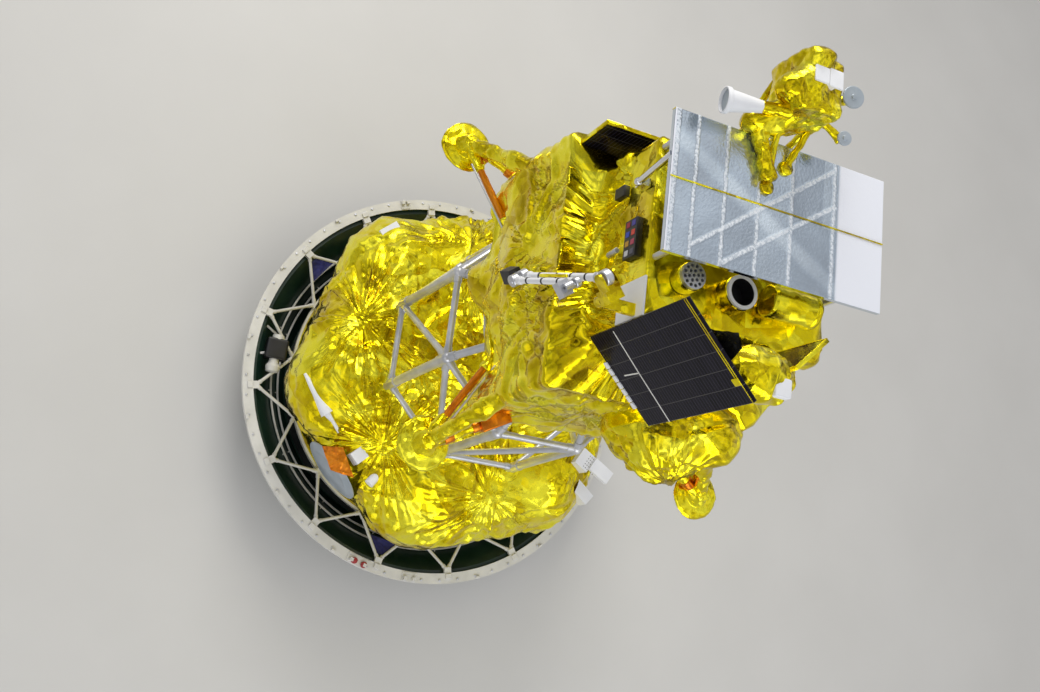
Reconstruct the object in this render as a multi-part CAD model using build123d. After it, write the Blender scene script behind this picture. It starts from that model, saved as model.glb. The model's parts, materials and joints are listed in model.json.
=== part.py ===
"""Lunar lander on its transfer stage, launch adapter ring and support cone.

Millimetres. Z points up the stack, the floor is z = 0 and leg 1 points along +X.
The upper lander is square to the directions U (azimuth 45) and V (azimuth 135).
"""
import math
import os

from build123d import *

os.makedirs("parts", exist_ok=True)

UP = (Align.CENTER, Align.CENTER, Align.MIN)

# Support cone, its foot flange and the film that closes its foot
CONE_FOOT_R = 1430
CONE_TOP_R = 1830
CONE_WALL = 12
CONE_SEAT_T = 16
FLANGE_R = 1540
FLANGE_BORE_R = 1385
FLANGE_T = 22
FLANGE_BOLTS = 48
FLANGE_BOLT_R = 1490
FLANGE_HOLE_R = 9
CLOSING_T = 8
CLOSING_LAP = 20

# Purge pipe rings round the inside of the cone
PIPE_HEIGHTS = (230, 386)
PIPE_R = 11
PIPE_STAND_OFF = 26
PIPE_CLIPS = 16

# Launch adapter ring
RING_TOP = 740
RING_R = 1950
RING_BORE_R = 1850
RING_DEEP = 56
RING_WALL = 14
RING_LIP = 46

# Strut truss between the adapter ring and the stage's base ring
APEX_COUNT = 16
APEX_FIRST = 11.25
APEX_R = 1822
APEX_DROP = 24
APEX_LUG = (54, 70, 40)
STRUT_R = 15
STRUT_SOCKET_R = 20
STRUT_REACH = 62
NODE_LUG = (50, 60, 40)
SEAT_CLEAR = 0.3

# Transfer stage
BASE_RING_R = 1440
BASE_RING_W = 56
BASE_RING_Z = 520
BASE_RING_H = 56
SKIRT_TOP_R = 1290
SKIRT_TOP_Z = 930
SKIRT_WALL = 10
TANK_COUNT = 6
TANK_PITCH_R = 1120
TANK_R = 560
TANK_LIFT = 590
WRAP_R = 545
CORE_R = 600
CORE_FOOT_Z = 900
CORE_TOP_Z = 1800
CORE_CHAMFER = 90
NOZZLE_EXIT_R = 250
NOZZLE_THROAT_R = 62
NOZZLE_FOOT_Z = 330
NOZZLE_WALL = 6
CHAMBER_R = 90
CHAMBER_H = 90

# Tube truss between the stage and the lander
TRUSS_NODES = 8
TRUSS_FIRST = 22.5
TRUSS_FOOT_R = 945
TRUSS_TOP_R = 897
TRUSS_FOOT_Z = 1985
TRUSS_TOP_Z = 3215
POST_R = 38
RAIL_R = 26
SOCKET_GROW = 6
HUB_R = 46
RAIL_REACH = 84
POST_REACH = 150

# Lander deck ring with its struts, engine bay and lower body, whose -X corner is cut off
DECK_R = 700
DECK_BORE_R = 600
DECK_T = 40
DECK_STRUT_R = 30
BAY_FOOT_R = 700
BAY_FOOT_Z = 3560
BODY_HALF = 826
BODY_CORNER_R = 60
BODY_FOOT_Z = 3800
BODY_TOP_Z = 4990
CUT_AT = (-1143, 0, 4450)
CUT_FACING = (-4, 0, 1)

# Upper body, which is square to U and V
UPPER_U = (-640, 600)
UPPER_V = (-600, 520)
UPPER_TOP_Z = 5680
UPPER_EDGE_R = 30

# Radiator
RAD_U = (-802, 684)
RAD_V = (-612, 224)
RAD_Z = 5932
RAD_T = 28
RAD_EDGE = 9
RAD_RIB_T = 14
RAD_POST_R = 20
RAD_POSTS_U = (-600, 0, 560)
RAD_POSTS_V = (-520, 150)

# Legs and feet
FOOT_REACH = 1558
FOOT_Z = 3765
PAD_R = 184
PAD_DEEP = 50
PAD_RIM = 6
CAP_R = 100
CAP_H = 120
NECK_R = 40
LEG_TUBE_R = 52
LEG_SLEEVE_R = 62
LEG_TOP_REACH = 1010
LEG_TOP_Z = 4530
BRACE_R = 30
BRACE_SOCKET_R = 38
BRACE_SPREAD = 200
BRACE_FOOT_Z = 3960
BRACE_FOOT_REACH = 900
BRACE_BOX = (110, 130, 210)
BRACE_SOCKET_LONG = 210
LOCK_R = 24

# Solar panels and their stays
PANEL_T = 22
PANEL_FRAME = 26
PANEL_SKIN = 0.4
STAY_R = 16

# Robot arm
SHOULDER = (363, 889, 5737)
ARM_AZ = -7.5
ARM_LEAN = 16.2
UPPER_LINK = 820
FORE_LINK = 640
LINK_GAP = 70
UPPER_TUBE_R = 34
FORE_TUBE_R = 25
HUB_HALF = 32
FORE_HUB_HALF = 29
SHOULDER_HUB_R = 36
ELBOW_HUB_R = 50
FORE_HUB_R = 40
WRIST_HUB_R = 28
CHEEK_T = 14
CAMERA_NECK = 84
CAMERA_BOX = (84, 90, 104)
HINGE_PIN_R = 12
WRIST_PIN_R = 9
YAW_PIN_R = 18
YAW_BACK = 104
YAW_DROP = 110
TURRET_R = 36
SHELF_U = 830
SHELF_V = (420, 488)
PIN_CLEAR = 0.05
SIDE_CLEAR = 6
SCOOP_WALL = 3
SCOOP = (90, 70, 60)

# Brackets that stand on the adapter ring. Columns: azimuth, length along the ring
BRACKETS = [(-25, 90), (118, 230), (134, 150)]

# Panels' places: x, y or u, v ranges and heights
FRONT_X = (-543, 88)
FRONT_Y = 838
FRONT_Z = (5200, 6203)
REAR_X = -600
REAR_Y = (145, 430)
REAR_Z = (5060, 6100)
SIDE_U = (-700, 780)
SIDE_V = -760
SIDE_TOP_Z = 5350
FRONT_STAYS_X = (-250, -60)
FRONT_STAYS_Z = (5330, 5560)
REAR_STAYS_Y = (210, 370)
REAR_STAYS_Z = 5300
STAY_LONG = 420
STAY_SINK = 0.4

# Dish, horn and boxes of the stage
DISH_Y = 1580
DISH_Z = 1345
DISH_R = 306
DISH_DEEP = 34
DISH_WALL = 8
DISH_MOUNT = (260, 170, 220)
HORN_BASE = Vector(448, 1381, 1684)
HORN_TIP = Vector(844, 1351, 1684)
HORN_R = 66
HORN_TIP_R = 12
HORN_NECK_LONG = 70
HORN_ROD_LONG = 120
HORN_ROD_R = 16
HORN_STAND = Vector(0, -160, -60)
# Columns: radius of the box's outer face, azimuth, z, length along the ring, height, depth
STAGE_BOXES = [
    (1440, 90, 1684, 110, 130, 390),
    (1545, -2, 1690, 190, 110, 370),
    (1640, -173, 1684, 120, 130, 390),
    (1376, -166, 1830, 170, 190, 150),
]
# The plate on the last box, in the same columns, and a canister: inner and outer radius, azimuth, z, radius
BOX_PLATE = (1590, -165.5, 1940, 130, 40, 220)
CANISTER = (1250, 1463, 100, 1684, 42)

# Instruments on the deck, in u and v
RING_TUBE_AT = (50, 262)
RING_TUBE_R = 100
RING_TUBE_BORE = 79
RING_TUBE_H = 125
CUP_FLOOR = 8
GRID_AT = (373, 243)
GRID_R = 78
GRID_T = 24
GRID_LIFT = 90
GRID_WALL = 6
GRID_HOLE_R = 10
# Columns: radius of the ring of holes, how many
GRID_HOLES = [(30, 6), (58, 12)]
CAN_U = (-450, -130)
CAN_V = 262
CAN_R = 96
CAN_RIM_LONG = 20
CAN_RIM = 7
# Wrapped bag, long along U. Columns of its shape: radius, place along U
BAG_AT = (60, 778, 5985)
BAG_SHAPE = [(0, -190), (70, -172), (112, -110), (126, -20), (120, 80), (84, 156), (0, 190)]
BAG_STALK_R = 28
BAG_PLATE = (140, 140, 70)
BAG_PLATE_LIFT = 60

# Colour target and white plate on the +U face, and wrapped tanks on the +V face
TARGET_V = (-100, 130)
TARGET_Z = (5455, 5580)
PLATE_V = (270, 500)
PLATE_Z = (5385, 5680)
PLATE_T = 12
TARGET_DEEP = 40
# Columns: u, v, z, radius
LUMPS = [(-200, 900, 4740, 300), (-450, 880, 4860, 200)]

# Star sensor's box, baffle, discs and frame
HEAD_U = (-190, 110)
HEAD_V = (-1030, -680)
HEAD_Z = (6000, 6320)
BAFFLE_AT = (-690, 6160)
BAFFLE_NECK = 130
BAFFLE_LONG = 300
# Outer radii of the baffle: neck, cone's foot, cone's end and rim, then the rim's length and the wall
BAFFLE_RADII = (55, 45, 104, 112)
BAFFLE_RIM = 24
BAFFLE_WALL = 7
# Columns: u, v, radius
DISCS = [(-342, -932, 116), (-307, -716, 74)]
DISC_T = 17
# Columns: foot u, foot v, head u, head v
FRAME_LEGS = [(58, -315, 60, -700), (-66, -469, -150, -700)]
FRAME_R = 24
FRAME_FOOT_R = 34
FRAME_FOOT_H = 14
# Columns: height at the body, v at the box
HEAD_STAYS = [(5450, -980), (5640, -720)]
HEAD_STAYS_U = (-150, 70)
HEAD_STAY_R = 18

# Polished rod between the upper body and the radiator: its two ends in u, v, z and its radius
ROD_FOOT = (660, -304, 5589)
ROD_TOP = (672, -340, 5950)
ROD_R = 20
ROD_LUG = (70, 50)


def polar(radius, azimuth, z):
    """Point at a radius and azimuth in degrees about the stack's axis."""
    turn = math.radians(azimuth)
    return Vector(radius * math.cos(turn), radius * math.sin(turn), z)


def uv(u, v, z):
    """Point from the lander's diagonal coordinates."""
    side = math.sqrt(0.5)
    return Vector((u - v) * side, (u + v) * side, z)


def tube(start, end, radius, bore=0):
    """Straight round tube between two points."""
    start = Vector(*start)
    span = Vector(*end) - start
    body = Cylinder(radius, span.length, align=UP)
    if bore:
        body -= Cylinder(bore, span.length, align=UP)
    return Plane(origin=start, z_dir=span) * body


def toward(start, end, reach):
    """Point at a distance from start on the way to end."""
    return start + (end - start).normalized() * reach


def ball(centre, radius):
    return Pos(*Vector(*centre)) * Sphere(radius)


def spun(profile):
    """Solid of revolution from (radius, z) points."""
    face = Plane.XZ * make_face(Polyline(*profile, close=True))
    return revolve(face, Axis.Z)


def hoop(inner, outer, foot, top):
    """Square-sectioned ring from its radii and heights."""
    return spun([(inner, foot), (outer, foot), (outer, top), (inner, top)])


def uv_box(u_range, v_range, z_range, edge=0):
    """Box square to U and V from its three ranges, with rounded upright edges."""
    body = Box(u_range[1] - u_range[0], v_range[1] - v_range[0], z_range[1] - z_range[0])
    if edge:
        body = fillet(body.edges().filter_by(Axis.Z), edge)
    middle = uv(sum(u_range) / 2, sum(v_range) / 2, sum(z_range) / 2)
    return Pos(*middle) * Rot(0, 0, 45) * body


def box_at(low, high):
    """Box from its two opposite corners."""
    size = [high[i] - low[i] for i in range(3)]
    return Pos(*[(high[i] + low[i]) / 2 for i in range(3)]) * Box(*size)


def joined(pieces):
    """One shape from a list of touching pieces."""
    return pieces[0] + pieces[1:]


def apart(pieces):
    """One node from pieces that don't touch each other."""
    return Compound(children=[solid for piece in pieces for solid in piece.solids()])


def biggest(shape):
    return shape.solids().sort_by(SortBy.VOLUME)[-1]


def save(name, shape):
    solids = shape.solids()
    kept = solids[0] if len(solids) == 1 else Compound(children=list(solids))
    export_step(kept, f"parts/{name}.step")


# Support cone: conical wall with a bolted foot flange and a seat flange
ring_foot = RING_TOP - RING_DEEP
seat_foot = ring_foot - CONE_SEAT_T
seat_r = RING_R - 20
cone_slope = (CONE_TOP_R - CONE_FOOT_R) / (seat_foot - FLANGE_T)
support_cone = spun(
    [
        (CONE_FOOT_R - CONE_WALL, FLANGE_T),
        (FLANGE_BORE_R, FLANGE_T),
        (FLANGE_BORE_R, 0),
        (FLANGE_R, 0),
        (FLANGE_R, FLANGE_T),
        (CONE_FOOT_R, FLANGE_T),
        (CONE_TOP_R, seat_foot),
        (seat_r, seat_foot),
        (seat_r, ring_foot),
        (CONE_TOP_R - CONE_WALL, ring_foot),
    ]
)
flange_holes = PolarLocations(FLANGE_BOLT_R, FLANGE_BOLTS) * Cylinder(FLANGE_HOLE_R, 3 * FLANGE_T)
support_cone = support_cone - list(flange_holes)
save("support_cone", support_cone)
save("closing_plate", Pos(0, 0, FLANGE_T) * Cylinder(FLANGE_BORE_R + CLOSING_LAP, CLOSING_T, align=UP))

# Two pipe rings inside the cone, each on radial clips
pipes = []
for z in PIPE_HEIGHTS:
    wall_r = CONE_FOOT_R - CONE_WALL + cone_slope * (z - FLANGE_T)
    pipe_ring = [Pos(0, 0, z) * Torus(wall_r - PIPE_STAND_OFF, PIPE_R)]
    for index in range(PIPE_CLIPS):
        azimuth = 360 * (index + 0.5) / PIPE_CLIPS
        pipe_ring.append(tube(polar(wall_r - PIPE_STAND_OFF, azimuth, z), polar(wall_r, azimuth, z), 6))
    pipes.append(joined(pipe_ring) - support_cone)
save("cone_pipes", apart([biggest(pipe) for pipe in pipes]))

# Adapter ring: channel section with a lip
adapter_ring = spun(
    [
        (RING_BORE_R, RING_TOP),
        (RING_BORE_R, RING_TOP - RING_WALL),
        (RING_R - RING_WALL, RING_TOP - RING_WALL),
        (RING_R - RING_WALL, ring_foot + RING_WALL),
        (RING_R - RING_LIP, ring_foot + RING_WALL),
        (RING_R - RING_LIP, ring_foot),
        (RING_R, ring_foot),
        (RING_R, RING_TOP),
    ]
)
save("adapter_ring", adapter_ring)

# Brackets that stand on the adapter ring
brackets = []
for azimuth, length in BRACKETS:
    plate = box_at((RING_BORE_R + 8, -length / 2, RING_TOP), (RING_R - 4, length / 2, RING_TOP + 10))
    for y in (-0.3 * length, 0.3 * length):
        plate += box_at((RING_R - 50, y - 16, RING_TOP + 10), (RING_R - 18, y + 16, RING_TOP + 46))
    brackets.append(Rot(0, 0, azimuth) * plate)
save("ring_brackets", apart(brackets))

# Stage base ring, on which the struts' inner fittings stand
base_ring_top = BASE_RING_Z + BASE_RING_H
base_ring_out = BASE_RING_R + BASE_RING_W / 2
save("stage_base_ring", hoop(BASE_RING_R - BASE_RING_W / 2, base_ring_out, BASE_RING_Z, base_ring_top))

# Zigzag of struts from the adapter ring's apexes to the base ring, with their fittings
step = 360 / APEX_COUNT
apex_z = RING_TOP - APEX_DROP
skirt_out = BASE_RING_R + SKIRT_WALL / 2
node_low = skirt_out + 1
node_r = node_low + NODE_LUG[0] / 2
node_z = base_ring_top + NODE_LUG[2] / 2
apexes = [polar(APEX_R, APEX_FIRST + index * step, apex_z) for index in range(APEX_COUNT)]
nodes = [polar(node_r, APEX_FIRST + (index + 0.5) * step, node_z) for index in range(APEX_COUNT)]
struts = []
fittings = []
bore_face = math.sqrt((RING_BORE_R - SEAT_CLEAR) ** 2 - (APEX_LUG[1] / 2) ** 2)
for index in range(APEX_COUNT):
    azimuth = APEX_FIRST + index * step
    ends = (nodes[index - 1], nodes[index])
    lug = box_at(
        (bore_face - APEX_LUG[0], -APEX_LUG[1] / 2, RING_TOP - APEX_LUG[2]),
        (bore_face, APEX_LUG[1] / 2, RING_TOP),
    )
    sockets = [tube(apexes[index], toward(apexes[index], end, STRUT_REACH), STRUT_SOCKET_R) for end in ends]
    fittings.append(joined([Rot(0, 0, azimuth) * lug] + sockets))
    for end in ends:
        low = toward(apexes[index], end, STRUT_REACH)
        struts.append(tube(low, toward(end, apexes[index], STRUT_REACH), STRUT_R))
for index in range(APEX_COUNT):
    azimuth = APEX_FIRST + (index + 0.5) * step
    ends = (apexes[index], apexes[(index + 1) % APEX_COUNT])
    lug = box_at(
        (node_low, -NODE_LUG[1] / 2, base_ring_top),
        (node_low + NODE_LUG[0], NODE_LUG[1] / 2, base_ring_top + NODE_LUG[2]),
    )
    sockets = [tube(nodes[index], toward(nodes[index], end, STRUT_REACH), STRUT_SOCKET_R) for end in ends]
    fittings.append(joined([Rot(0, 0, azimuth) * lug] + sockets))
save("adapter_struts", apart(struts))
save("adapter_fittings", apart(fittings))

# Six tanks in a ring under one wrap, which is straight from tank to tank
tank_z = RING_TOP + TANK_LIFT
tank_turns = [360 * index / TANK_COUNT for index in range(TANK_COUNT)]
tank_spots = [polar(TANK_PITCH_R, azimuth, tank_z) for azimuth in tank_turns]
# Each sphere's poles point along the ring and its seam inward, so that the wrap covers them
tanks = [
    Plane(origin=spot, x_dir=polar(-1, azimuth, 0), z_dir=polar(1, azimuth + 90, 0)) * Sphere(TANK_R)
    for spot, azimuth in zip(tank_spots, tank_turns)
]
wraps = [tube(tank_spots[index - 1], tank_spots[index], WRAP_R) for index in range(TANK_COUNT)]
core_space = Pos(0, 0, tank_z) * Cylinder(CORE_R, 4 * TANK_R)
tank_block = joined(tanks + wraps) - core_space
save("stage_tanks", tank_block)

stage_core = Pos(0, 0, CORE_FOOT_Z) * Cylinder(CORE_R, CORE_TOP_Z - CORE_FOOT_Z, align=UP)
stage_core = chamfer(stage_core.edges().group_by(Axis.Z)[-1], CORE_CHAMFER)
save("stage_core", stage_core)

skirt = spun(
    [
        (BASE_RING_R - SKIRT_WALL / 2, base_ring_top),
        (skirt_out, base_ring_top),
        (SKIRT_TOP_R + SKIRT_WALL / 2, SKIRT_TOP_Z),
        (SKIRT_TOP_R - SKIRT_WALL / 2, SKIRT_TOP_Z),
    ]
)
save("stage_skirt", skirt - tank_block)

# Main engine nozzle of the stage
throat_z = CORE_FOOT_Z - CHAMBER_H
flare = [
    (
        NOZZLE_THROAT_R + (NOZZLE_EXIT_R - NOZZLE_THROAT_R) * math.sqrt(i / 8),
        throat_z - (throat_z - NOZZLE_FOOT_Z) * i / 8,
    )
    for i in range(9)
]
bore = [(radius - NOZZLE_WALL, z) for radius, z in reversed(flare)]
stage_engine = spun([(0, CORE_FOOT_Z), (CHAMBER_R, CORE_FOOT_Z)] + flare + bore + [(0, throat_z)])
save("stage_engine", stage_engine)

# Tube truss that carries the lander: hubs with sockets, and the tubes between them
turn = 360 / TRUSS_NODES
feet_at = [polar(TRUSS_FOOT_R, TRUSS_FIRST + turn * i, TRUSS_FOOT_Z) for i in range(TRUSS_NODES)]
tops_at = [polar(TRUSS_TOP_R, TRUSS_FIRST + turn * i, TRUSS_TOP_Z) for i in range(TRUSS_NODES)]
deck_z = BAY_FOOT_Z - DECK_T / 2
deck_mid_r = (DECK_R + DECK_BORE_R) / 2
deck_seats = [polar(deck_mid_r, TRUSS_FIRST + turn * i, deck_z) for i in range(TRUSS_NODES)]
# Columns: start, end, radius, distance of the tube's end from the hub's centre
rails = [
    (spots[i - 1], spots[i], RAIL_R, RAIL_REACH) for spots in (feet_at, tops_at) for i in range(TRUSS_NODES)
]
posts = [(feet_at[i], tops_at[i], POST_R, POST_REACH) for i in range(TRUSS_NODES)]
diagonals = [
    (feet_at[(i + side) % TRUSS_NODES], tops_at[i], RAIL_R, POST_REACH)
    for i in range(1, TRUSS_NODES, 2)
    for side in (-1, 1)
]


def between(rows):
    return [
        tube(toward(start, end, reach), toward(end, start, reach), radius)
        for start, end, radius, reach in rows
    ]


hubs = []
for spots, is_top in ((feet_at, False), (tops_at, True)):
    for spot in spots:
        hub = [ball(spot, HUB_R)]
        for start, end, radius, reach in rails + posts + diagonals:
            for here, there in ((start, end), (end, start)):
                if (here - spot).length < 1:
                    hub.append(tube(here, toward(here, there, reach), radius + SOCKET_GROW))
        if is_top:
            deck_foot = deck_seats[tops_at.index(spot)]
            hub.append(tube(spot, toward(spot, deck_foot, RAIL_REACH), DECK_STRUT_R + SOCKET_GROW))
            hubs.append(joined(hub))
        else:
            hub.append(tube(spot - Vector(0, 0, 500), spot, RAIL_R + SOCKET_GROW))
            hubs.append(biggest(joined(hub) - tank_block - stage_core))
save("truss_hubs", apart(hubs))
save("truss_rails", apart(between(rails)))
save("truss_posts", apart(between(posts)))
save("truss_diagonals", apart(between(diagonals)))

# Lander deck ring, engine bay and square lower body
bay_foot = Plane.XY.offset(BAY_FOOT_Z) * Circle(BAY_FOOT_R)
bay_top = Plane.XY.offset(BODY_FOOT_Z) * Rot(0, 0, 45) * RectangleRounded(
    2 * BODY_HALF, 2 * BODY_HALF, BODY_CORNER_R
)
engine_bay = loft([bay_foot, bay_top])
save("lander_engine_bay", engine_bay)
deck = [hoop(DECK_BORE_R, DECK_R, BAY_FOOT_Z - DECK_T, BAY_FOOT_Z)]
for spot, seat in zip(tops_at, deck_seats):
    deck.append(tube(toward(spot, seat, RAIL_REACH), seat, DECK_STRUT_R))
save("lander_deck_ring", joined(deck))
lower_body = extrude(bay_top, BODY_TOP_Z - BODY_FOOT_Z)
lower_body = split(lower_body, Plane(origin=CUT_AT, z_dir=CUT_FACING), keep=Keep.BOTTOM)
save("lander_lower_body", lower_body)
upper_body = uv_box(UPPER_U, UPPER_V, (BODY_TOP_Z, UPPER_TOP_Z), UPPER_EDGE_R)
save("lander_upper_body", upper_body)

# Radiator plate with ribs under it, on its posts
radiator = uv_box(RAD_U, RAD_V, (RAD_Z, RAD_Z + RAD_T))
pocket_v = (RAD_V[0] + RAD_EDGE, RAD_V[1] - RAD_EDGE)
rib_us = [RAD_U[0] + RAD_EDGE] + [
    u + side * RAD_RIB_T for u in RAD_POSTS_U for side in (-2, 2)
] + [RAD_U[1] - RAD_EDGE]
pockets = [
    uv_box((rib_us[i], rib_us[i + 1]), pocket_v, (RAD_Z, RAD_Z + RAD_T - RAD_EDGE))
    for i in range(0, len(rib_us), 2)
]
save("radiator_panel", radiator - pockets)
rad_posts = [
    tube(uv(u, v, UPPER_TOP_Z), uv(u, v, RAD_Z), RAD_POST_R) for u in RAD_POSTS_U for v in RAD_POSTS_V
]
save("radiator_posts", apart(rad_posts))

# Four legs, each with a main tube, a sleeve, two braces and a lock strut, and its foot. The box
# on a brace is on the side away from the +U face on legs 1 and 2, and alike on legs 3 and 4.
foot_top = FOOT_Z + CAP_H
leg_foot = Vector(FOOT_REACH, 0, FOOT_Z + 60)
leg_top = Vector(LEG_TOP_REACH, 0, LEG_TOP_Z)
leg_mid = toward(leg_foot, leg_top, 0.52 * (leg_top - leg_foot).length)
for index in range(4):
    spin = Rot(0, 0, 90 * index)
    leg = [tube(leg_foot, leg_top, LEG_TUBE_R), tube(leg_mid, leg_top, LEG_SLEEVE_R)]
    for side in (-1, 1):
        root = Vector(FOOT_REACH - 20, 20 * side, FOOT_Z + 80)
        end = Vector(BRACE_FOOT_REACH, BRACE_SPREAD * side, BRACE_FOOT_Z)
        leg.append(tube(root, end, BRACE_R))
        leg.append(tube(root, toward(root, end, BRACE_SOCKET_LONG), BRACE_SOCKET_R))
        if side == (-1, 1)[index % 2]:
            box_spot = toward(end, root, BRACE_BOX[2])
            leg.append(Plane(origin=box_spot, x_dir=(0, 1, 0), z_dir=end - root) * Box(*BRACE_BOX))
    lock = toward(leg_foot, leg_top, 0.56 * (leg_top - leg_foot).length)
    leg.append(tube(lock, lock - Vector(340, 0, 20), LOCK_R))
    leg.append(ball(lock, LEG_SLEEVE_R + 10))
    pad = spun(
        [
            (0, FOOT_Z - PAD_DEEP),
            (PAD_R * 0.5, FOOT_Z - PAD_DEEP),
            (PAD_R * 0.86, FOOT_Z - PAD_DEEP * 0.55),
            (PAD_R, FOOT_Z - PAD_RIM),
            (PAD_R, FOOT_Z),
            (CAP_R, FOOT_Z + 10),
            (NECK_R + 12, FOOT_Z + 0.6 * CAP_H),
            (NECK_R, foot_top),
            (0, foot_top),
        ]
    )
    pad = spin * (Pos(FOOT_REACH, 0, 0) * pad)
    save(f"foot_{index + 1}", pad)
    save(f"leg_{index + 1}", biggest((spin * joined(leg)) - engine_bay - lower_body - pad))

# Solar panels: a front panel that faces +Y, a rear panel that faces -X and a side panel

def framed(size_a, size_b, thick):
    """Panel with a recessed face, its face towards +Z and its corner at the origin."""
    slab = Box(size_a, size_b, thick, align=(Align.MIN, Align.MIN, Align.MIN))
    hollow = Box(
        size_a - 2 * PANEL_FRAME, size_b - 2 * PANEL_FRAME, thick, align=(Align.MIN, Align.MIN, Align.MIN)
    )
    return slab - Pos(PANEL_FRAME, PANEL_FRAME, -(1 - PANEL_SKIN) * thick) * hollow


front_place = Plane(origin=(FRONT_X[0], FRONT_Y, FRONT_Z[0]), x_dir=(0, 0, 1), z_dir=(0, 1, 0))
front = front_place * framed(FRONT_Z[1] - FRONT_Z[0], FRONT_X[1] - FRONT_X[0], PANEL_T)
save("solar_panel_front", front)
rear_place = Plane(origin=(REAR_X, REAR_Y[0], REAR_Z[0]), x_dir=(0, 0, 1), z_dir=(-1, 0, 0))
rear = rear_place * framed(REAR_Z[1] - REAR_Z[0], REAR_Y[1] - REAR_Y[0], PANEL_T)
save("solar_panel_rear", rear)
side_panel = uv_box(SIDE_U, (SIDE_V, SIDE_V + PANEL_T), (BODY_TOP_Z, SIDE_TOP_Z))
save("solar_panel_side", side_panel)
sink = STAY_SINK * PANEL_T
stays = [
    tube((x, FRONT_Y - STAY_LONG, z), (x, FRONT_Y + sink, z), STAY_R)
    for x in FRONT_STAYS_X
    for z in FRONT_STAYS_Z
]
stays += [
    tube((REAR_X - sink, y, REAR_STAYS_Z), (REAR_X + STAY_LONG, y, REAR_STAYS_Z), STAY_R)
    for y in REAR_STAYS_Y
]
stays = [biggest(stay - upper_body) for stay in stays]
save("panel_stays", apart(stays))

# Stage fittings: dish, horn and small boxes on the wrap
dish = spun(
    [
        (0, 0),
        (DISH_R * 0.75, -DISH_WALL),
        (DISH_R, -DISH_DEEP),
        (DISH_R, -DISH_DEEP + DISH_WALL),
        (DISH_R * 0.74, 0),
        (0, DISH_WALL),
    ]
)
dish = Pos(0, DISH_Y, DISH_Z) * Rot(-90, 0, 0) * dish
save("disc_antenna", dish)
mount = Pos(0, DISH_Y - 60 - DISH_MOUNT[1] / 2, DISH_Z + 20) * Box(*DISH_MOUNT)
mount += tube((0, DISH_Y - 80, DISH_Z), (0, DISH_Y, DISH_Z), 60)
save("disc_antenna_mount", biggest(mount - tank_block - dish))
horn_way = (HORN_TIP - HORN_BASE).normalized()
horn_long = (HORN_TIP - HORN_BASE).length
horn = Plane(origin=HORN_BASE, z_dir=horn_way) * Cone(HORN_R, HORN_TIP_R, horn_long, align=UP)
neck_foot = HORN_BASE - horn_way * HORN_NECK_LONG
neck = Cone(0.3 * HORN_R, 0.6 * HORN_R, HORN_NECK_LONG, align=UP)
horn += Plane(origin=neck_foot, z_dir=horn_way) * neck
rod_foot = neck_foot - horn_way * HORN_ROD_LONG
horn += tube(rod_foot, neck_foot, HORN_ROD_R)
for spot in (rod_foot, HORN_BASE + horn_way * 40):
    horn += tube(spot, spot + HORN_STAND, HORN_ROD_R)
save("stage_horn", biggest(horn - tank_block))

boxes = []
for out, azimuth, z, length, high, deep in STAGE_BOXES + [BOX_PLATE]:
    box = box_at((out - deep, -length / 2, z - high / 2), (out, length / 2, z + high / 2))
    boxes.append(Rot(0, 0, azimuth) * box)
boxes = boxes[:-2] + [boxes[-2] + boxes[-1]]
inner, outer, azimuth, z, radius = CANISTER
boxes.append(tube(polar(inner, azimuth, z), polar(outer, azimuth, z), radius))
boxes = [biggest(box - tank_block) for box in boxes]
save("stage_boxes", apart(boxes))

# Instruments on the deck
ring_tube = Pos(*uv(*RING_TUBE_AT, UPPER_TOP_Z)) * (
    Cylinder(RING_TUBE_R, RING_TUBE_H, align=UP)
    - Pos(0, 0, CUP_FLOOR) * Cylinder(RING_TUBE_BORE, RING_TUBE_H, align=UP)
)
save("instrument_ring_tube", ring_tube)
grid_holes = [Cylinder(GRID_HOLE_R, 3 * GRID_T)] + [
    hole
    for radius, count in GRID_HOLES
    for hole in PolarLocations(radius, count) * Cylinder(GRID_HOLE_R, 3 * GRID_T)
]
grid = Pos(0, 0, GRID_LIFT) * (Cylinder(GRID_R, GRID_T, align=UP) - grid_holes)
grid += Cylinder(GRID_R, GRID_LIFT, align=UP) - Pos(0, 0, CUP_FLOOR) * Cylinder(
    GRID_R - GRID_WALL, GRID_LIFT, align=UP
)
save("instrument_grid_disc", Pos(*uv(*GRID_AT, UPPER_TOP_Z)) * grid)
can_z = UPPER_TOP_Z + CAN_R + 10
can_mouth = uv(CAN_U[0] + CAN_RIM_LONG, CAN_V, can_z)
can = tube(uv(CAN_U[1], CAN_V, can_z), can_mouth, CAN_R)
can += tube(uv(CAN_U[0], CAN_V, can_z), can_mouth, CAN_R + CAN_RIM, CAN_R - CAN_RIM_LONG)
can += uv_box((CAN_U[0] + 60, CAN_U[1] - 40), (CAN_V - 50, CAN_V + 50), (UPPER_TOP_Z, UPPER_TOP_Z + 40))
save("instrument_can", can)
bag_place = Plane(origin=uv(*BAG_AT), x_dir=(0, 0, 1), z_dir=uv(1, 0, 0))
bag = bag_place * spun(BAG_SHAPE)
bag += tube(uv(*BAG_AT), uv(BAG_AT[0], UPPER_V[1] - 20, UPPER_TOP_Z - 60), BAG_STALK_R)
plate_at = uv(BAG_AT[0] - 10, BAG_AT[1] + BAG_PLATE[1] / 2, BAG_AT[2] + BAG_PLATE_LIFT + BAG_PLATE[2] / 2)
bag += Pos(*plate_at) * Rot(0, 0, 45) * Box(*BAG_PLATE)
save("instrument_bag", biggest(bag - upper_body))

# Colour target and white plate on the +U face
target = uv_box((UPPER_U[1], UPPER_U[1] + TARGET_DEEP), TARGET_V, TARGET_Z)
white_plate = uv_box((UPPER_U[1], UPPER_U[1] + PLATE_T), PLATE_V, PLATE_Z)
save("body_plates", apart([target, white_plate]))

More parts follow.
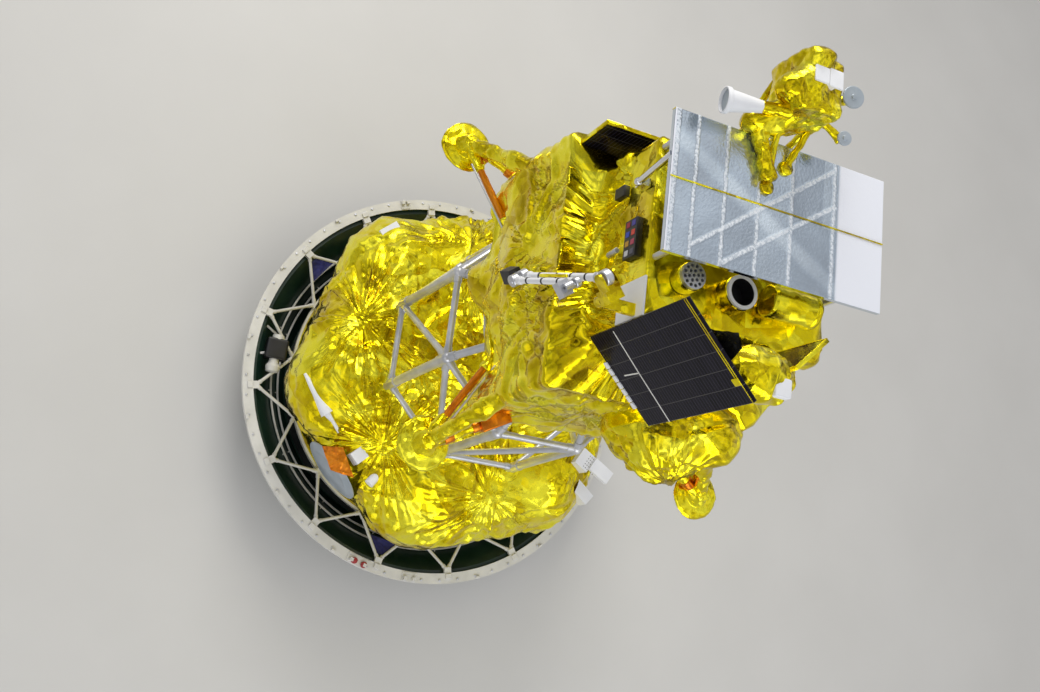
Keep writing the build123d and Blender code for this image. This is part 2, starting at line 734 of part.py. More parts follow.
# Wrapped tank lump low on the +V side
side_tank = []
for u, v, z, radius in LUMPS:
    lump = Sphere(radius) - Pos(0, 0, BODY_HALF - v) * Box(
        2 * radius, 2 * radius, 2 * radius, align=(Align.CENTER, Align.CENTER, Align.MAX)
    )
    side_tank.append(Plane(origin=uv(u, v, z), z_dir=uv(0, 1, 0)) * lump)
save("side_tank", joined(side_tank))

# Star sensor and instrument box beyond the radiator
head_box = uv_box(HEAD_U, HEAD_V, HEAD_Z, 20)
save("sensor_box", head_box)
baffle_foot = uv(HEAD_U[1], *BAFFLE_AT)
neck_r, cone_r, mouth_r, rim_r = BAFFLE_RADII
baffle = tube(baffle_foot, uv(HEAD_U[1] + BAFFLE_NECK, *BAFFLE_AT), neck_r)
flare_at = Plane(origin=uv(HEAD_U[1] + BAFFLE_NECK, *BAFFLE_AT), z_dir=uv(1, 0, 0))
baffle += flare_at * Cone(cone_r, mouth_r, BAFFLE_LONG, align=UP)
baffle += flare_at * Pos(0, 0, BAFFLE_LONG - BAFFLE_RIM) * Cylinder(rim_r, BAFFLE_RIM, align=UP)
inside = Cone(cone_r - BAFFLE_WALL, mouth_r - BAFFLE_WALL, BAFFLE_LONG, align=UP)
baffle -= flare_at * Pos(0, 0, 2 * BAFFLE_WALL) * inside
save("sensor_baffle", biggest(baffle))
head_stays = [
    tube(uv(u, UPPER_V[0] + 10, low_z), uv(u, high_v, HEAD_Z[0] + 20), HEAD_STAY_R)
    for u in HEAD_STAYS_U
    for low_z, high_v in HEAD_STAYS
]
head_stays = [biggest(stay - upper_body - head_box) for stay in head_stays]
save("sensor_stays", apart(head_stays))

# Two grey discs on stems beside the box
disc_z = HEAD_Z[0] + 180
discs = []
for u, v, radius in DISCS:
    stem = tube(uv(HEAD_U[0], v, disc_z), uv(u, v, disc_z), 14)
    discs.append(stem + tube(uv(u, v, disc_z - DISC_T), uv(u, v, disc_z + DISC_T), radius))
save("sensor_discs", apart(discs))

# Wrapped frame from the box down to two feet on the radiator
frame_z = RAD_Z + RAD_T
frame_legs = []
for foot_u, foot_v, head_u, head_v in FRAME_LEGS:
    leg = tube(uv(foot_u, foot_v, frame_z - 20), uv(head_u, head_v, HEAD_Z[0] + 60), FRAME_R)
    leg += Pos(*uv(foot_u, foot_v, frame_z)) * Cylinder(FRAME_FOOT_R, FRAME_FOOT_H, align=UP)
    frame_legs.append(biggest(leg - head_box - radiator))
save("sensor_frame", apart(frame_legs))

# Polished rod beside the radiator's edge, on a lug of the upper body
rod = tube(uv(*ROD_FOOT), uv(*ROD_TOP), ROD_R) + ball(uv(*ROD_FOOT), 1.4 * ROD_R)
rod += uv_box(
    (UPPER_U[1], ROD_FOOT[0]), (ROD_FOOT[1] - ROD_LUG[1] / 2, ROD_FOOT[1] + ROD_LUG[1] / 2),
    (ROD_FOOT[2] - ROD_LUG[0] / 2, ROD_FOOT[2] + ROD_LUG[0] / 2),
)
save("mast_rod", biggest(rod - radiator))

# Robot arm. Its plane stands upright through the shoulder: local x is outward in
# that plane, local y is the hinge direction and local z is up.
arm_place = Pos(*SHOULDER) * Rot(0, 0, ARM_AZ)
lean = math.radians(ARM_LEAN)
elbow = Vector(UPPER_LINK * math.sin(lean), 0, -UPPER_LINK * math.cos(lean))
down = elbow.normalized()
y_turn = Rot(90, 0, 0)

yaw_at = arm_place * Pos(-YAW_BACK, 0, -YAW_DROP)
yaw_z = SHOULDER[2] - YAW_DROP
arm_base = yaw_at * Pos(0, 0, -60) * Cylinder(TURRET_R, 60, align=UP)
arm_base += uv_box((UPPER_U[1] + PLATE_T, SHELF_U), SHELF_V, (yaw_z - 60, yaw_z - 24))
arm_base -= yaw_at * Pos(0, 0, -70) * Cylinder(YAW_PIN_R + PIN_CLEAR, 80, align=UP)
save("arm_base", arm_base)

fork_y = HUB_HALF + SIDE_CLEAR
turret_foot = SIDE_CLEAR - YAW_DROP
turret = Pos(-YAW_BACK, 0, turret_foot) * Cylinder(TURRET_R, 30, align=UP)
turret += Pos(-YAW_BACK, 0, turret_foot - 50) * Cylinder(YAW_PIN_R, 60, align=UP)
turret += box_at(
    (-YAW_BACK - TURRET_R + 6, -fork_y - CHEEK_T, turret_foot + 24), (-52, fork_y + CHEEK_T, 8)
)
for side in (-1, 1):
    low_y = min(side * fork_y, side * (fork_y + CHEEK_T))
    turret += box_at((-70, low_y, -SHOULDER_HUB_R), (0, low_y + CHEEK_T, SHOULDER_HUB_R))
    turret += Pos(0, low_y + CHEEK_T / 2, 0) * y_turn * Cylinder(SHOULDER_HUB_R, CHEEK_T)
turret += y_turn * Cylinder(HINGE_PIN_R, 2 * (fork_y + CHEEK_T))
save("arm_turret", arm_place * turret)

upper = tube((0, 0, 0), elbow, UPPER_TUBE_R)
upper += y_turn * Cylinder(SHOULDER_HUB_R, 2 * HUB_HALF)
upper += Pos(*elbow) * y_turn * Cylinder(ELBOW_HUB_R, 2 * UPPER_TUBE_R)
upper += tube(elbow, elbow + down * CAMERA_NECK, UPPER_TUBE_R)
upper -= y_turn * Cylinder(HINGE_PIN_R + PIN_CLEAR, 4 * HUB_HALF)
pin_end = LINK_GAP + FORE_HUB_HALF + SIDE_CLEAR + 6
upper += Pos(*elbow) * Pos(0, pin_end / 2, 0) * y_turn * Cylinder(HINGE_PIN_R, pin_end)
upper += Pos(*elbow) * Pos(0, pin_end - 3, 0) * y_turn * Cylinder(22, 6)
save("arm_upper_link", arm_place * upper)
camera_at = Plane(origin=elbow + down * (CAMERA_NECK + CAMERA_BOX[2] / 2), x_dir=(0, 1, 0), z_dir=down)
camera = fillet(Box(*CAMERA_BOX).edges().filter_by(Axis.Z), 6)
save("arm_camera", arm_place * (camera_at * camera))

fore_root = elbow + Vector(0, LINK_GAP, 0)
wrist = fore_root - down * FORE_LINK
fore = tube(fore_root, wrist, FORE_TUBE_R)
fore += Pos(*fore_root) * y_turn * Cylinder(FORE_HUB_R, 2 * FORE_HUB_HALF)
fore += Pos(*wrist) * y_turn * Cylinder(WRIST_HUB_R, 2 * FORE_HUB_HALF)
fore -= Pos(*fore_root) * y_turn * Cylinder(HINGE_PIN_R + PIN_CLEAR, 4 * FORE_HUB_HALF)
scoop_low = FORE_HUB_HALF + SIDE_CLEAR
fore += Pos(*wrist) * Pos(0, scoop_low + 25, 0) * y_turn * Cylinder(WRIST_PIN_R, 70)
save("arm_forearm", arm_place * fore)

scoop = Pos(0, scoop_low + 25, 0) * y_turn * Cylinder(26, 50)
half, wide, high = SCOOP[0] / 2, SCOOP[1], SCOOP[2]
scoop += box_at((-half, scoop_low, -10 - high), (half, scoop_low + wide, -10))
scoop -= box_at(
    (SCOOP_WALL - half, scoop_low + SCOOP_WALL, SCOOP_WALL - 10 - high),
    (2 * half, scoop_low + wide - SCOOP_WALL, -30),
)
scoop -= Pos(0, scoop_low + 25, 0) * y_turn * Cylinder(WRIST_PIN_R + PIN_CLEAR, 90)
save("arm_scoop", arm_place * Pos(*wrist) * scoop)
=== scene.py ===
"""Looks of the lunar lander stack: crumpled films, paint, cells, camera and light.

Metres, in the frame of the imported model. Z points up the stack, leg 1 points along +X.
The upper lander is square to the directions U (azimuth 45) and V (azimuth 135).
"""
import json
import math

import bpy
import numpy as np
from mathutils import Matrix


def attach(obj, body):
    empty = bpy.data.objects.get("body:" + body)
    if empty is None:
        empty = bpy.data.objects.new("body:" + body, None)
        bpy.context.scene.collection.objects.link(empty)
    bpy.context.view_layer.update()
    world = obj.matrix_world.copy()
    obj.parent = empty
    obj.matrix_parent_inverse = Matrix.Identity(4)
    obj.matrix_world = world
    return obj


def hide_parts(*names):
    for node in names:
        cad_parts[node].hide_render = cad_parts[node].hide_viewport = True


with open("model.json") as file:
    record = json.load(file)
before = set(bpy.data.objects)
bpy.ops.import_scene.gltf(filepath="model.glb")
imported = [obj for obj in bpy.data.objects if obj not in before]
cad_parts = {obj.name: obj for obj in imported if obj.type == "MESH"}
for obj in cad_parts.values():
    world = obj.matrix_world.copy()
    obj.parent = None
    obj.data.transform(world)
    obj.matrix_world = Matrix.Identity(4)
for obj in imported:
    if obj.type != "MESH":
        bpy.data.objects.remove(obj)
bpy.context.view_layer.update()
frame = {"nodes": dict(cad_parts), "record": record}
nodes = frame["nodes"]

# Camera: place in metres, then its right, down and forward directions
CAMERA_AT = (0.7922, 3.8729, 10.3005)
CAMERA_RIGHT = (-0.551341, -0.719646, 0.422057)
CAMERA_DOWN = (-0.829621, 0.526317, -0.186330)
CAMERA_FORWARD = (-0.088044, -0.452879, -0.887214)
LENS_MM = 35.358

# Adapter ring and the struts under the stage
RING_TOP = 0.740
RING_BOLTS = 64
APEXES = 16
APEX_R = 1.822
NODE_R = 1.471
NODE_Z = 0.596

# Stage: the ring of tanks under its film
STAGE_Z = 1.33
TANKS = 6
TANK_PITCH = 1.12
TANK_R = 0.566
WRAP_R = 0.550
CORE_R = 0.60
CORE_TOP = 1.80

# Lander body
BAY_FOOT_R = 0.70
BAY_FOOT_Z = 3.56
BODY_HALF = 0.826
BODY_CORNER = 0.05
BODY_FOOT_Z = 3.80
BODY_TOP_Z = 4.99
CUT_AT = (-1.143, 0, 4.45)
CUT_FACING = (-0.970143, 0, 0.242536)
UPPER_U = (-0.640, 0.600)
UPPER_V = (-0.600, 0.520)
UPPER_TOP_Z = 5.68
DIAG = math.sqrt(0.5)
UP = np.array([0, 0, 1.0])

# Legs, in the frame of leg 1
LEG_FOOT = (1.558, 0, 3.825)
LEG_TOP = (1.010, 0, 4.530)
BRACE_ROOT = (1.538, 0.020, 3.845)
BRACE_END = (0.900, 0.200, 3.960)
FOOT_REACH = 1.558
LOCK_SHARE = 0.56

# Radiator's upper face
RAD_U = (-0.802, 0.684)
RAD_V = (-0.612, 0.224)
RAD_TOP = 5.960

# Robot arm: shoulder, azimuth of its plane, and the way from the shoulder to the elbow
SHOULDER = np.array([0.363, 0.889, 5.737])
ARM_AZ = math.radians(-7.5)
ARM_LEAN = math.radians(16.2)


def uv(u, v, z):
    """Point from the lander's diagonal coordinates."""
    return np.array([(u - v) * DIAG, (u + v) * DIAG, z])


U_WAY = uv(1, 0, 0)
V_WAY = uv(0, 1, 0)


def polar(radius, azimuth, z):
    """Point at a radius and azimuth in degrees about the stack's axis."""
    turn = math.radians(azimuth)
    return np.array([radius * math.cos(turn), radius * math.sin(turn), z])


def unit(way):
    way = np.array(way, float)
    return way / np.linalg.norm(way)


# ---------------------------------------------------------------- mesh making


def patch(rows, around=True, low=False, high=False):
    """Points and faces of one grid: rows go along the surface and columns across it.

    Four neighbouring points make a face, the last column meets the first where the grid
    goes around, and a closed end gets a fan of triangles to its middle.
    """
    count, across = rows.shape[:2]
    points = rows.reshape(-1, 3)
    i = np.arange(count - 1)[:, None]
    j = np.arange(across if around else across - 1)[None, :]
    k = (j + 1) % across
    quads = np.stack([i * across + j, i * across + k, (i + 1) * across + k, (i + 1) * across + j], -1)
    column = np.arange(across)
    ahead = (column + 1) % across
    fans = np.zeros((0, 3), int)
    for wanted, row, ring in ((low, 0, (ahead, column)), (high, count - 1, (column, ahead))):
        if wanted:
            tip = np.full(across, len(points))
            points = np.vstack([points, rows[row].mean(0)])
            fans = np.vstack([fans, np.stack([row * across + ring[0], row * across + ring[1], tip], -1)])
    return points, quads.reshape(-1, 4), fans


def closed(rows):
    """Patch that goes around, with both of its ends closed."""
    return patch(rows, True, True, True)


def both_sides(rows, gap):
    """Open sheet with an underside: its grid, then the grid turned over and moved by the gap."""
    return [patch(rows, False), patch(rows[:, ::-1] + np.array(gap), False)]


def surface(name, patches, body, slot, material, replaces=()):
    """One smooth piece from a list of patches, riding on a body."""
    starts = np.cumsum([0] + [len(points) for points, _, _ in patches])
    points = np.concatenate([points for points, _, _ in patches])
    quads = np.concatenate([faces + start for (_, faces, _), start in zip(patches, starts)])
    fans = np.concatenate([faces + start for (_, _, faces), start in zip(patches, starts)])
    mesh = bpy.data.meshes.new(name)
    mesh.vertices.add(len(points))
    mesh.vertices.foreach_set("co", points.astype(np.float32).ravel())
    corners = np.concatenate([quads.ravel(), fans.ravel()])
    sizes = np.concatenate([np.full(len(quads), 4), np.full(len(fans), 3)])
    mesh.loops.add(len(corners))
    mesh.loops.foreach_set("vertex_index", corners.astype(np.int32))
    mesh.polygons.add(len(sizes))
    mesh.polygons.foreach_set("loop_start", np.concatenate([[0], np.cumsum(sizes)[:-1]]).astype(np.int32))
    mesh.update(calc_edges=True)
    mesh.validate()
    mesh.shade_smooth()
    piece = bpy.data.objects.new(name, mesh)
    bpy.context.scene.collection.objects.link(piece)
    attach(piece, body)
    dress(piece, material)
    if replaces:
        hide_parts(*replaces)
    return piece


def dress(piece, material):
    """Puts one material on every face of a piece."""
    if not piece.material_slots:
        piece.data.materials.append(material)
    for entry in piece.material_slots:
        entry.link = "OBJECT"
        entry.material = material


def normals_of(rows, around=True):
    """Unit normals of a grid, from the cross product of its column and row steps."""
    if around:
        across = np.roll(rows, -1, 1) - np.roll(rows, 1, 1)
    else:
        across = np.gradient(rows, axis=1)
    along = np.gradient(rows, axis=0)
    normal = np.cross(across, along)
    return normal / np.maximum(np.linalg.norm(normal, axis=-1, keepdims=True), 1e-9)


def outline(half_a, half_b, corner, columns):
    """Points round a rectangle: a quarter circle at each corner, straight between them."""
    turn = (np.arange(columns) + 0.5) * math.tau / columns
    cos, sin = np.cos(turn), np.sin(turn)
    a = np.sign(cos) * (half_a - corner) + corner * cos
    b = np.sign(sin) * (half_b - corner) + corner * sin
    return np.stack([a, b], -1)


def block(foot, a, b, size, corner=0.003, edge=0.002, columns=16):
    """Closed block on its foot's middle: the outline square to a and b, drawn in at both
    faces by a rounded edge, and lifted along the third direction."""
    a, b = unit(a), unit(b)
    c = np.cross(a, b)
    high = size[2]
    steps = [(2.5 * edge, 0), (edge, 0), (0.3 * edge, 0.3 * edge), (0, edge)]
    steps += [(inset, high - lift) for inset, lift in reversed(steps)]
    rows = []
    for inset, lift in steps:
        flat = outline(size[0] / 2 - inset, size[1] / 2 - inset, max(corner - inset, 1e-4), columns)
        rows.append(foot + flat[:, :1] * a + flat[:, 1:] * b + lift * c)
    return closed(np.stack(rows))


def sides_of(way):
    """Two directions square to a third, in right-handed order."""
    way = unit(way)
    side = np.cross(way, UP if abs(way[2]) < 0.9 else U_WAY)
    side /= np.linalg.norm(side)
    return side, np.cross(way, side)


def finer(profile, step):
    """Profile with points added along its runs, at most a step apart."""
    profile = np.array(profile, float)
    gaps = np.linalg.norm(np.diff(profile, axis=0), axis=1)
    place = np.concatenate([[0], np.cumsum(gaps)])
    wanted = np.unique(np.concatenate([place, np.linspace(0, place[-1], int(place[-1] / step) + 2)]))
    wanted = wanted[np.concatenate([[True], np.diff(wanted) > 0.15 * step])]
    return np.stack([np.interp(wanted, place, profile[:, i]) for i in range(2)], -1)


def eased(profile, edge):
    """Profile whose inner corners are cut by two points an edge away, with one between them."""
    profile = np.array(profile, float)
    out = [profile[0]]
    for before, here, after in zip(profile[:-2], profile[1:-1], profile[2:]):
        back, on = before - here, after - here
        back = here + back * min(edge / np.linalg.norm(back), 0.4)
        on = here + on * min(edge / np.linalg.norm(on), 0.4)
        out += [back, 0.5 * here + 0.25 * (back + on), on]
    return np.array(out + [profile[-1]])


def turned_rows(start, way, profile, columns=32):
    """Profile of (radius, distance along the axis) carried round the axis."""
    way = unit(way)
    side, other = sides_of(way)
    turn = np.arange(columns) * math.tau / columns
    round_it = np.cos(turn)[:, None] * side + np.sin(turn)[:, None] * other
    profile = np.array(profile, float)
    return np.array(start) + profile[:, 1, None, None] * way + profile[:, 0, None, None] * round_it[None]


def turned_patch(start, way, profile, columns=32, edge=0.002):
    """Closed turned part from a profile that begins and ends near its axis."""
    return closed(turned_rows(start, way, eased(profile, edge), columns))


def mirrored(half, long):
    """Whole profile of a part with like ends, from the half at its start."""
    return half + [(radius, long - at) for radius, at in reversed(half)]


def rod(start, end, radius, columns=12):
    """Plain round bar with closed ends."""
    start, end = np.array(start, float), np.array(end, float)
    long = np.linalg.norm(end - start)
    profile = mirrored([(0.1 * radius, 0), (radius, 0)], long)
    return turned_patch(start, end - start, profile, columns, 0.12 * radius)


def scattered(cells, salt):
    """Three numbers from 0 to 1 for each whole-numbered cell, fixed by the cell and the salt."""
    k = cells.astype(np.int64)
    mixed = (k[..., 0] * 73856093) ^ (k[..., 1] * 19349663) ^ (k[..., 2] * 83492791) ^ (salt * 2654435761)
    out = []
    for _ in range(3):
        mixed = ((mixed ^ (mixed >> 13)) * 1274126177) & 0x7FFFFFFF
        out.append((mixed & 0xFFFF) / 65535.0)
    return np.stack(out, -1)


def turned(salt):
    """A random turn in space, fixed by the salt."""
    square, _ = np.linalg.qr(np.random.default_rng(salt).normal(size=(3, 3)))
    return square


def creased(points, size, salt, stretch=(1, 1, 1)):
    """Sharp-creased heights from 0 to 1, flat between the creases.

    The height is the distance to the nearest of a cloud of scattered points, measured by
    its largest coordinate in a turned frame, as a share of the size of the cloud's cells.
    """
    place = (points * np.array(stretch)) @ turned(salt) / size
    base = np.floor(place)
    nearest = np.full(place.shape[:-1], 9.0)
    for step in np.ndindex(3, 3, 3):
        cell = base + np.array(step) - 1
        gap = np.abs(place - cell - scattered(cell, salt)).max(-1)
        nearest = np.minimum(nearest, gap)
    return nearest


def crumpled(rows, amounts, salt, around=True, stretch=(1, 1, 1), level=0.42):
    """Grid moved along its normals by creased heights and small folds; amounts are (size, height)."""
    facing = normals_of(rows, around)
    lift = np.zeros(rows.shape[:-1])
    for index, (size, height) in enumerate(amounts):
        lift += 0.7 * height * (creased(rows, size, salt + 3 * index, stretch) - level)
        lift += folds(
            rows, facing, 45, (0.15 * size, 0.35 * size), 0.9 * height / size, salt + index, None, (5, 14)
        )
    return rows + facing * lift[..., None]


def stars(points, centres, reach, folds, salt):
    """Heights of folds that run out from centres, as a wave of the angle about each centre.

    The wave is the sum of three triangle waves of different counts. It grows from the
    centre to a quarter of the reach and dies out at the reach.
    """
    height = np.zeros(points.shape[:-1])
    rng = np.random.default_rng(salt)
    for centre, facing in centres:
        facing = unit(facing)
        side, other = sides_of(facing)
        away = points - np.array(centre)
        radius = np.linalg.norm(away, axis=-1)
        angle = np.arctan2(away @ side, away @ other)
        angle = angle + 0.25 * np.sin(
            3 * angle + rng.uniform(0, 6)
        ) + 0.12 * np.sin(7 * angle + rng.uniform(0, 6))
        wave = np.zeros_like(radius)
        for count, share in ((folds, 0.45), (2 * folds + 3, 0.35), (4 * folds + 1, 0.2)):
            turn = angle * count / (2 * math.pi) + rng.uniform(0, 1)
            wave += share * (4 * np.abs(turn - np.floor(turn + 0.5)) - 1)
        strength = np.clip(radius / (reach / 4), 0.15, 1) * np.clip(1.6 - 1.6 * radius / reach, 0, 1)
        height += wave * strength
    return height


def folds(rows, facing, count, widths, slope, salt, grain=None, longer=(3.0, 8.0)):
    """Heights of many straight sharp folds laid over a surface.

    Each fold is a tent: one less its sideways distance as a share of its width, times one
    less the square of its lengthwise distance as a share of its length. Its height is its
    width times the slope, up or down, and it stays on its own side of the surface.
    """
    flat, out = rows.reshape(-1, 3).astype(np.float32), facing.reshape(-1, 3).astype(np.float32)
    height = np.zeros(len(flat))
    rng = np.random.default_rng(salt)
    for _ in range(count):
        pick = rng.integers(len(flat))
        width = widths[0] * (widths[1] / widths[0]) ** rng.random()
        long = width * rng.uniform(*longer)
        along = rng.normal(size=3) if grain is None else np.array(grain) + 0.45 * rng.normal(size=3)
        side = np.cross(out[pick], along)
        side /= np.linalg.norm(side)
        along = np.cross(side, out[pick])
        sign = rng.choice((-0.8, 1.0))
        away = flat - flat[pick]
        near = np.abs(away).max(-1) < 1.2 * long
        away = away[near]
        tent = np.maximum(1 - np.abs(away @ side) / width, 0) * np.maximum(1 - (away @ along / long) ** 2, 0)
        tent *= np.maximum(1 - (away @ out[pick] / (0.6 * long)) ** 2, 0) * (out[near] @ out[pick] > 0)
        height[near] += sign * slope * width * tent
    return height.reshape(rows.shape[:-1])


def near_lines(points, lines):
    """Share from 0 to 1 by nearness to straight lines: each is start, end, reach."""
    share = np.zeros(points.shape[:-1])
    for start, end, reach in lines:
        share = np.maximum(share, 1 - between(bar_distance(points, start, end, 0.0), 0.6 * reach, reach))
    return share


def between(value, low, high):
    """Share from 0 to 1 of the way from low to high, with smooth ends."""
    share = np.clip((value - low) / (high - low), 0, 1)
    return share * share * (3 - 2 * share)


# ---------------------------------------------------------------- materials


def shader(name, base, metallic=0.0, roughness=0.5, **sockets):
    """Principled material, returned as (material, tree, surface)."""
    material = bpy.data.materials.new(name)
    material.use_nodes = True
    tree = material.node_tree
    surface = tree.nodes["Principled BSDF"]
    surface.inputs["Base Color"].default_value = (*base, 1)
    surface.inputs["Metallic"].default_value = metallic
    surface.inputs["Roughness"].default_value = roughness
    for socket, value in sockets.items():
        surface.inputs[socket.replace("_", " ")].default_value = value
    return material, tree, surface


def node(tree, kind, **values):
    """New shader node; plain values go to its settings or its input sockets."""
    made = tree.nodes.new(kind)
    for key, value in values.items():
        if hasattr(made, key):
            setattr(made, key, value)
        else:
            made.inputs[key.replace("_", " ")].default_value = value
    return made


def object_place(tree):
    return node(tree, "ShaderNodeTexCoord").outputs["Object"]


def feed(tree, value, socket):
    """Links an output to a socket, or sets the socket to a plain value."""
    if isinstance(value, bpy.types.NodeSocket):
        tree.links.new(value, socket)
    else:
        socket.default_value = value


def noise(tree, place, **values):
    """Noise texture at a place."""
    made = node(tree, "ShaderNodeTexNoise", **values)
    tree.links.new(place, made.inputs["Vector"])
    return made


def worked(tree, kind, operation, *values):
    """Output of a Math or VectorMath node on outputs or plain values."""
    made = node(tree, "ShaderNode" + kind, operation=operation)
    for value, socket in zip(values, made.inputs):
        feed(tree, value, socket)
    return made.outputs[0]


def blended(tree, share, first, second, **values):
    """Colour between two by a share; each is an output or a plain value."""
    made = node(tree, "ShaderNodeMix", data_type="RGBA", **values)
    for index, value in ((0, share), (6, first), (7, second)):
        feed(tree, value, made.inputs[index])
    return made.outputs[2]


def bumped(tree, surface, height, strength, distance):
    """Puts a bump from a height on a surface and returns the bump's node."""
    bump = node(tree, "ShaderNodeBump", Strength=strength, Distance=distance)
    tree.links.new(height, bump.inputs["Height"])
    tree.links.new(bump.outputs[0], surface.inputs["Normal"])
    return bump


def spread(tree, value, stops):
    """Colour ramp on a value: stops are (place, colour)."""
    ramp = node(tree, "ShaderNodeValToRGB")
    elements = ramp.color_ramp.elements
    while len(elements) < len(stops):
        elements.new(0.5)
    for element, (place, colour) in zip(elements, stops):
        element.position = place
        element.color = (*colour, 1) if len(colour) == 3 else colour
    tree.links.new(value, ramp.inputs[0])
    return ramp.outputs[0]


def grey(level):
    return (level, level, level)


def film(
    name, colours, rough=(0.15, 0.27), scales=((4.5, 0.26), (12.0, 0.16), (36.0, 0.05)), coat=0.10, metallic=1.0
):
    """Crumpled metallised film under a thin coat: flat facets at three scales, each tilted by
    its own random amount, with fine ridges. Each facet is also a little darker or lighter by its tilt, which is
    painted shade and painted reflection, over a slow random drift of tone."""
    material, tree, surface = shader(
        name, colours[1], metallic, rough[0], Coat_Weight=coat, Coat_Roughness=0.06, Coat_IOR=1.5
    )
    link = tree.links.new
    place = object_place(tree)
    drift = noise(tree, place, Scale=2.2, Detail=3.0)
    level = spread(tree, drift.outputs["Fac"], [(0.35, grey(rough[0])), (0.65, grey(rough[1]))])
    link(level, surface.inputs["Roughness"])
    facing = node(tree, "ShaderNodeNewGeometry").outputs["Normal"]
    drift_and_painted_facet_light = drift.outputs["Fac"]
    for scale, tilt in scales:
        warp = noise(tree, place, Scale=scale * 0.5, Detail=1.0)
        shift = worked(tree, "VectorMath", "MULTIPLY_ADD", warp.outputs["Color"], (0.7 / scale,) * 3, place)
        cells = node(tree, "ShaderNodeTexVoronoi", feature="F1", Scale=scale)
        link(shift, cells.inputs["Vector"])
        lean = worked(tree, "VectorMath", "SUBTRACT", cells.outputs["Color"], (0.5, 0.5, 0.5))
        facing = worked(tree, "VectorMath", "MULTIPLY_ADD", lean, (tilt,) * 3, facing)
        apart = node(tree, "ShaderNodeSeparateXYZ")
        link(lean, apart.inputs[0])
        # Painted facet light: the facet's tilt moves its colour towards the dark or light end of the ramp, on top of
        # the random drift
        drift_and_painted_facet_light = worked(tree, "Math", "MULTIPLY_ADD", apart.outputs[0], 1.1 * tilt, drift_and_painted_facet_light)
    link(
        spread(tree, drift_and_painted_facet_light, [(0.28, colours[0]), (0.5, colours[1]), (0.70, colours[2])]),
        surface.inputs["Base Color"],
    )
    straight = worked(tree, "VectorMath", "NORMALIZE", facing)
    ridges = noise(tree, place, noise_type="RIDGED_MULTIFRACTAL", Scale=scales[0][0] * 0.8, Detail=4.0)
    bump = bumped(tree, surface, ridges.outputs["Fac"], 1.0, 0.014 / scales[0][0])
    link(straight, bump.inputs["Normal"])
    return material


def plain(name, tones, metallic=0.0, rough=(0.35, 0.5), scale=6.0, grain=180.0, lift=0.0006, **sockets):
    """Paint or bare metal: slow tone changes, a fine grain in the bump, and uneven gloss."""
    material, tree, surface = shader(name, tones[0], metallic, rough[0], **sockets)
    link = tree.links.new
    place = object_place(tree)
    drift = noise(tree, place, Scale=scale, Detail=6.0)
    link(spread(tree, drift.outputs["Fac"], [(0.35, tones[0]), (0.68, tones[1])]), surface.inputs["Base Color"])
    link(
        spread(tree, drift.outputs["Fac"], [(0.3, grey(rough[0])), (0.7, grey(rough[1]))]),
        surface.inputs["Roughness"],
    )
    fine = noise(tree, place, Scale=grain, Detail=2.0)
    bumped(tree, surface, fine.outputs["Fac"], 0.4, lift)
    return material


def cells_material(name):
    """Dark cell glass: strips 25 mm by 105 mm with thin gaps, each cell a slightly different tone.

    The piece's own map gives metres along and across the panel. A gap shows where the
    distance into a cell is smaller than the gap's width.
    """
    material, tree, surface = shader(
        name, (0.01, 0.01, 0.02), 0.0, 0.12, Specular_IOR_Level=0.12
    )
    link = tree.links.new
    place = node(tree, "ShaderNodeSeparateXYZ")
    link(node(tree, "ShaderNodeTexCoord").outputs["UV"], place.inputs[0])

    gaps = []
    indexes = []
    for axis, pitch, gap in (("X", 0.0251, 0.0030), ("Y", 0.1052, 0.0042)):
        count = worked(tree, "Math", "DIVIDE", place.outputs[axis], pitch)
        share = worked(tree, "Math", "FRACT", count)
        gaps.append(worked(tree, "Math", "LESS_THAN", share, gap / pitch))
        indexes.append(worked(tree, "Math", "FLOOR", count))
    cell = node(tree, "ShaderNodeCombineXYZ")
    link(indexes[0], cell.inputs[0])
    link(indexes[1], cell.inputs[1])
    random = node(tree, "ShaderNodeTexWhiteNoise", noise_dimensions="3D")
    link(cell.outputs[0], random.inputs["Vector"])
    tone = spread(tree, random.outputs["Value"], [(0.0, (0.0025, 0.002, 0.005)), (1.0, (0.008, 0.007, 0.013))])
    thin = blended(tree, gaps[0], tone, (0.034, 0.030, 0.048, 1))
    wide = blended(tree, gaps[1], thin, (0.060, 0.058, 0.056, 1))
    link(wide, surface.inputs["Base Color"])
    drift = noise(tree, object_place(tree), Scale=9.0, Detail=4.0)
    link(
        spread(tree, drift.outputs["Fac"], [(0.3, grey(0.10)), (0.7, grey(0.22))]), surface.inputs["Roughness"]
    )
    bumped(tree, surface, random.outputs["Value"], 0.5, 0.0006)
    return material


